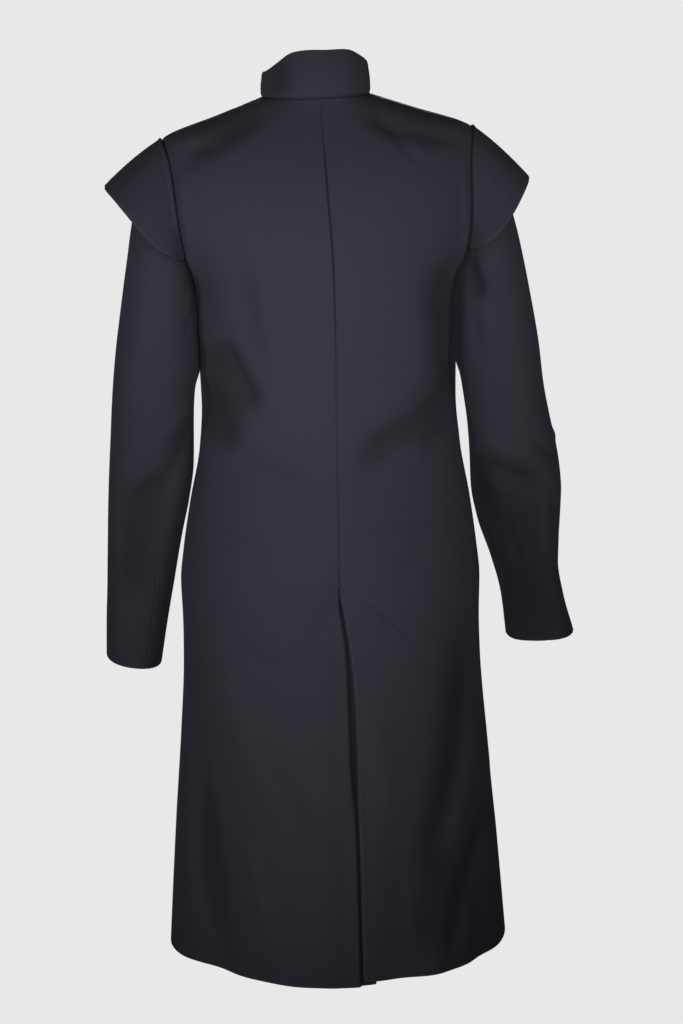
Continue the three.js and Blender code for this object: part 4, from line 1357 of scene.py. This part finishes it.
def stitch_tree():
    """Lays stitches in a row along the edges of a mesh, as a Geometry Nodes tree."""
    tree = bpy.data.node_groups.new("row of stitches", "GeometryNodeTree")
    face = tree.interface
    face.new_socket("Geometry", in_out="INPUT", socket_type="NodeSocketGeometry")
    for name in ("Spacing", "Stitch length", "Thread radius", "Slant", "Unevenness"):
        face.new_socket(name, in_out="INPUT", socket_type="NodeSocketFloat")
    face.new_socket("Thread", in_out="INPUT", socket_type="NodeSocketMaterial")
    face.new_socket("Geometry", in_out="OUTPUT", socket_type="NodeSocketGeometry")
    given = add_node(tree, "NodeGroupInput").outputs
    path = add_node(tree, "GeometryNodeMeshToCurve", {}, {}, {"Mesh": given["Geometry"]})
    even = add_node(
        tree,
        "GeometryNodeResampleCurve",
        {"mode": "LENGTH"},
        {},
        {"Curve": path.outputs[0], "Length": given["Spacing"]},
    )
    along = add_node(tree, "GeometryNodeInputTangent").outputs[0]
    lean = add_node(
        tree, "FunctionNodeAlignRotationToVector", {"axis": "X"}, {}, {"Vector": along}
    ).outputs[0]
    wander = add_node(
        tree,
        "FunctionNodeRandomValue",
        {"data_type": "FLOAT"},
        {"Seed": 4},
        {"Max": given["Unevenness"]},
    ).outputs[1]
    angle = add_node(
        tree, "ShaderNodeMath", {"operation": "ADD"}, {}, {0: given["Slant"], 1: wander}
    ).outputs[0]
    turn = add_node(tree, "ShaderNodeCombineXYZ", {}, {}, {"Z": angle}).outputs[0]
    tilt = add_node(
        tree,
        "FunctionNodeRotateRotation",
        {"rotation_space": "LOCAL"},
        {},
        {"Rotation": lean, "Rotate By": turn},
    ).outputs[0]
    thread = add_node(
        tree, "GeometryNodeMeshUVSphere", {}, {"Segments": 6, "Rings": 5, "Radius": 1.0}
    ).outputs[0]
    half = add_node(
        tree, "ShaderNodeMath", {"operation": "MULTIPLY"}, {1: 0.5}, {0: given["Stitch length"]}
    ).outputs[0]
    size = add_node(
        tree,
        "ShaderNodeCombineXYZ",
        {},
        {},
        {"X": half, "Y": given["Thread radius"], "Z": given["Thread radius"]},
    ).outputs[0]
    laid = add_node(
        tree,
        "GeometryNodeInstanceOnPoints",
        {},
        {},
        {"Points": even.outputs[0], "Instance": thread, "Rotation": tilt, "Scale": size},
    ).outputs[0]
    real = add_node(tree, "GeometryNodeRealizeInstances", {}, {}, {"Geometry": laid}).outputs[0]
    done = add_node(
        tree, "GeometryNodeSetMaterial", {}, {}, {"Geometry": real, "Material": given["Thread"]}
    ).outputs[0]
    add_node(tree, "NodeGroupOutput", {}, {}, {"Geometry": done})
    return tree


def lay_stitches(name, paths, settings):
    """One object of stitches along several paths, each a list of points in millimetres."""
    points = [hang(np.array(path, float)) / 1000 for path in paths]
    starts = np.cumsum([0] + [len(path) for path in points])
    edges = [(a + k, a + k + 1) for a, path in zip(starts, points) for k in range(len(path) - 1)]
    mesh = bpy.data.meshes.new(name + " path")
    mesh.from_pydata([tuple(point) for path in points for point in path], edges, [])
    guide = bpy.data.objects.new(name + " path", mesh)
    bpy.context.scene.collection.objects.link(guide)
    tree = bpy.data.node_groups.get("row of stitches") or stitch_tree()
    rule = guide.modifiers.new("stitches", "NODES")
    rule.node_group = tree
    for socket in tree.interface.items_tree:
        if socket.in_out == "INPUT" and socket.name in settings:
            rule[socket.identifier] = settings[socket.name]
        if socket.in_out == "INPUT" and socket.name == "Thread":
            rule[socket.identifier] = sewing_thread()
    ready = guide.evaluated_get(bpy.context.evaluated_depsgraph_get())
    sewn = bpy.data.meshes.new_from_object(ready)
    guide.modifiers.remove(rule)
    bpy.data.objects.remove(guide)
    if not sewn.polygons:
        raise RuntimeError(f"{name} has no stitches")
    sewn.name = name
    sewn.polygons.foreach_set("use_smooth", [True] * len(sewn.polygons))
    piece = bpy.data.objects.new(name, sewn)
    bpy.context.scene.collection.objects.link(piece)
    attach(piece, "root")


# Rows of stitches, in metres and radians, and the bar tack's place over the vent.
BAR_TACK = {
    "Spacing": 0.0006,
    "Stitch length": 0.0026,
    "Thread radius": 0.00032,
    "Slant": math.radians(78),
    "Unevenness": math.radians(14),
}
BLIND_HEM = {
    "Spacing": 0.007,
    "Stitch length": 0.0042,
    "Thread radius": 0.0002,
    "Slant": math.radians(-28),
    "Unevenness": math.radians(12),
}
TACK_FROM, TACK_TO, TACK_ABOVE, TACK_SLOPE, TACK_SUNK = -3.4, 3.2, 1.5, 0.12, 0.5


class COAT_OT_stitches(bpy.types.Operator):
    """Sew the bar tack over the vent and the blind hems"""

    bl_idname = "coat.stitches"
    bl_label = "Stitches"

    def execute(self, context):
        x = np.linspace(TACK_FROM, TACK_TO, 9)
        tack = body_point(BACK, x, VENT_TOP + TACK_ABOVE - TACK_SLOPE * (x - TACK_FROM))
        tack[:, 1] -= TACK_SUNK
        lay_stitches("bar_tack", [tack], BAR_TACK)
        lay_stitches("hem_stitches", HEM_PATHS, BLIND_HEM)
        lay_stitches("cuff_stitches", CUFF_PATHS, BLIND_HEM)
        return {"FINISHED"}


def rim_bend(degrees):
    """The collar's rim runs flat across the back and drops at two soft corners."""
    return sum(height * bell(degrees - at, width) for at, width, height in RIM_BENDS)


def collar_rim(turn, foot):
    """Height of the collar at each turn, and the place of its rim."""
    left, back = np.sin(turn), np.cos(turn)
    top = np.where(back > 0, COLLAR_BACK, COLLAR_FRONT)
    height = lerp(COLLAR_SIDE, top, np.abs(back) ** 1.6)
    deep = np.where(back >= 0, BACK, FRONT) * np.where(back > 0, RIM_BACK, RIM_FRONT)
    rim_z = foot[..., 2] + height - COLLAR_TILT * left + rim_bend(np.degrees(turn))
    return height, stack(RIM_HALF * left, deep * np.abs(back) ** 0.9, rim_z)


def collar_surface(turn, f):
    """The collar's outer face before its creases, and how tall it is there and in all."""
    left, back = np.sin(turn), np.cos(turn)
    face = np.where(back >= 0, BACK, FRONT)
    foot = body_point(face, NECK_HALF * left, neckline_z(face, NECK_HALF * left))
    height, rim = collar_rim(turn, foot)
    tall = height * f
    tucked = bell(tall, COLLAR_TUCK_WIDTH)
    lapped = smooth(np.abs(turn), math.pi - 2 * LAP_TURN, math.pi - 0.4 * LAP_TURN)
    offset = COLLAR_STAND * (1 - f) + COLLAR_BELLY * np.sin(math.pi * f)
    offset = offset - np.sign(turn) * COLLAR_LAP * lapped
    feet = np.broadcast_to(foot, (*offset.shape, 3)).copy()
    feet[..., 2] += COLLAR_FOOT_GAP + COLLAR_RISE * np.maximum(offset, 0)
    p = lerp(feet, np.broadcast_to(rim, feet.shape), f[..., None])
    p = p + stack(left, back, 0) * (offset - COLLAR_TUCK * tucked)[..., None]
    p[..., 2] -= TUCKED_DOWN * tucked
    return p, tall, height


class COAT_OT_collar(bpy.types.Operator):
    """Shape the stand collar"""

    bl_idname = "coat.collar"
    bl_label = "Stand collar"

    def execute(self, context):
        cloth = context.scene.coat_cloth
        end = math.pi + LAP_TURN
        turn = np.linspace(-end, end, COLLAR_COLUMNS)[None, :]
        f = np.concatenate([[0, 0.02, 0.05], np.linspace(0.08, 0.95, 22), [0.97, 0.985, 1]])[:, None]
        p, tall, height = collar_surface(turn, f)
        normal = grid_normal(p)
        outwards = stack(np.sin(turn), np.cos(turn), 0)
        normal *= np.sign(np.sum(normal * outwards, axis=-1, keepdims=True))
        to_rim = height - tall
        rise = cloth.creasing * crease_lift(np.degrees(turn), tall, COLLAR_CREASES)
        rise = rise + RIM_ROLL * bell(to_rim - RIM_ROLL_AT, RIM_ROLL_WIDTH)
        outer = p + normal * rise[..., None]
        level = -normal
        level[..., 2] = 0
        inner = outer + unit(level) * cloth.double * 1000
        # Painted shade at the collar's foot and in its hollows; its rim is lightened with wear and a
        # painted highlight.
        shade = np.maximum(bell(tall, 1.5), hollow_shade(rise))
        marks = cloth_marks(outer, shade, COLLAR_RUB_HIGHLIGHT * bell(to_rim, RIM_RUB_HIGHLIGHT_WIDTH))
        finish_piece("collar", outer, inner, marks, (0, 1, 1, 1))
        return {"FINISHED"}


# ---- studio -----------------------------------------------------------------------------
# The camera's distance and height in metres, its turns in degrees and its lens in millimetres.
CAMERA = dict(distance=2.9, height=0.15, yaw=4.8, roll=-1.1, pitch=12.9816, aim=0.42187, lens=84.0)
# Behind the coat a tall strip light, a soft one at each side and small ones for the collar and
# the left of the skirt, and one for the front: name, place, target, cone in degrees, width.
LIGHTS = [
    ("key", (0.42, 2.55, -0.5), (-0.01, 0.0, -0.4), 44, 0.36),
    ("left", (1.9, 1.7, -0.45), (0.15, 0.0, -0.16), 20, 1.0),
    ("right", (-1.9, 1.7, -0.45), (-0.13, 0.0, -0.16), 20, 1.0),
    ("collar", (-0.7, 2.4, 0.1), (-0.02, 0.06, 0.0), 7, 1.0),
    ("skirt", (1.9, 1.7, -0.7), (0.1, 0.0, -0.92), 18, 1.0),
    ("front", (-0.4, -2.6, 0.2), (0.0, 0.0, -0.45), 38, 1.0),
]
LIGHT_SIZE, FLOOR_RADIUS, PAPER = 0.35, 14, "#e8e8e8"


class COAT_OT_stage(bpy.types.Operator):
    """Set the floor, the backdrop, the lights and the camera"""

    bl_idname = "coat.stage"
    bl_label = "Studio"

    def execute(self, context):
        scene, studio = context.scene, context.scene.coat_studio
        scene.view_settings.view_transform = "Standard"
        self.aim_camera(scene)
        for name, place, target, cone, width in LIGHTS:
            self.hang_light(scene, name, place, target, getattr(studio, f"{name}_power"), cone, width)
        self.lay_floor(scene, studio.floor_z)
        self.light_all_round(scene, studio.ambient)
        return {"FINISHED"}

    def aim_camera(self, scene):
        c = CAMERA
        yaw, pitch, roll = (math.radians(c[k]) for k in ("yaw", "pitch", "roll"))
        a = yaw + math.radians(c["aim"])
        level = math.cos(pitch)
        ahead = Vector((-math.sin(a) * level, -math.cos(a) * level, -math.sin(pitch)))
        right = ahead.cross(Vector((0, 0, 1))).normalized()
        up = right.cross(ahead)
        turned = right * math.cos(roll) + up * math.sin(roll)
        up = -right * math.sin(roll) + up * math.cos(roll)
        camera = bpy.data.objects.new("camera", bpy.data.cameras.new("camera"))
        place = Matrix((turned, up, -ahead)).transposed().to_4x4()
        away = c["distance"]
        place.translation = (away * math.sin(yaw), away * math.cos(yaw), c["height"])
        camera.matrix_world = place
        camera.data.lens = c["lens"]
        camera.data.sensor_width = 36
        camera.data.dof.use_dof = False
        scene.collection.objects.link(camera)
        scene.camera = camera

    def hang_light(self, scene, name, place, target, power, cone, width):
        light = bpy.data.objects.new(name, bpy.data.lights.new(name, "SPOT"))
        light.data.energy = power
        light.data.shadow_soft_size = LIGHT_SIZE
        light.data.spot_size = math.radians(cone)
        light.data.spot_blend = 1.0
        light.location = place
        way = Vector(target) - Vector(place)
        light.rotation_euler = way.to_track_quat("-Z", "Y").to_euler()
        light.scale[0] = width
        scene.collection.objects.link(light)

    def lay_floor(self, scene, height):
        mesh = bpy.data.meshes.new("floor")
        work = bmesh.new()
        bmesh.ops.create_circle(work, cap_ends=True, segments=64, radius=FLOOR_RADIUS)
        work.to_mesh(mesh)
        work.free()
        mesh.transform(Matrix.Translation((0, 0, height)))
        floor = bpy.data.objects.new("floor", mesh)
        scene.collection.objects.link(floor)
        material, tree = new_material("seamless paper, pale grey")
        # Lit paper that shows the same grey all over.
        glow = add_node(
            tree, "ShaderNodeEmission", {}, {"Color": [*hex_colour(PAPER), 1], "Strength": 1.0}
        ).outputs[0]
        add_node(tree, "ShaderNodeOutputMaterial", {}, {}, {"Surface": glow})
        mesh.materials.append(material)
        floor.visible_diffuse = False
        floor.visible_glossy = False

    def light_all_round(self, scene, strength):
        world = bpy.data.worlds.new("studio")
        scene.world = world
        world.use_nodes = True
        tree = world.node_tree
        tree.nodes.clear()
        seen = add_node(tree, "ShaderNodeLightPath").outputs["Is Camera Ray"]
        dim = add_node(tree, "ShaderNodeBackground", {}, {"Color": (1, 1, 1, 1), "Strength": strength})
        pale = add_node(
            tree, "ShaderNodeBackground", {}, {"Color": [*hex_colour(PAPER), 1], "Strength": 1.0}
        )
        both = add_node(
            tree, "ShaderNodeMixShader", {}, {}, {0: seen, 1: dim.outputs[0], 2: pale.outputs[0]}
        )
        add_node(tree, "ShaderNodeOutputWorld", {}, {}, {"Surface": both.outputs[0]})


class COAT_PT_sidebar(bpy.types.Panel):
    """Steps and sizes of the coat"""

    bl_idname = "COAT_PT_sidebar"
    bl_label = "Stand-collar coat"
    bl_space_type = "VIEW_3D"
    bl_region_type = "UI"
    bl_category = "Coat"

    def draw(self, context):
        for group in ("coat_cloth", "coat_colours", "coat_studio"):
            settings = getattr(context.scene, group)
            for key in settings.__annotations__:
                self.layout.prop(settings, key)
        for step in STEPS:
            self.layout.operator(step.bl_idname)


STEPS = (
    COAT_OT_backs,
    COAT_OT_fronts,
    COAT_OT_sleeves,
    COAT_OT_wings,
    COAT_OT_collar,
    COAT_OT_stitches,
    COAT_OT_stage,
)
GROUPS = {"coat_cloth": CoatCloth, "coat_colours": CoatColours, "coat_studio": CoatStudio}


def register():
    for group in (*GROUPS.values(), *STEPS, COAT_PT_sidebar):
        bpy.utils.register_class(group)
    for name, group in GROUPS.items():
        setattr(bpy.types.Scene, name, PointerProperty(type=group))


def unregister():
    for name in GROUPS:
        delattr(bpy.types.Scene, name)
    for group in (COAT_PT_sidebar, *reversed(STEPS), *GROUPS.values()):
        bpy.utils.unregister_class(group)


def main():
    register()
    bpy.ops.coat.backs()
    bpy.ops.coat.fronts()
    bpy.ops.coat.sleeves()
    bpy.ops.coat.wings()
    bpy.ops.coat.collar()
    bpy.ops.coat.stitches()
    bpy.ops.coat.stage()


if __name__ == "__main__":
    main()
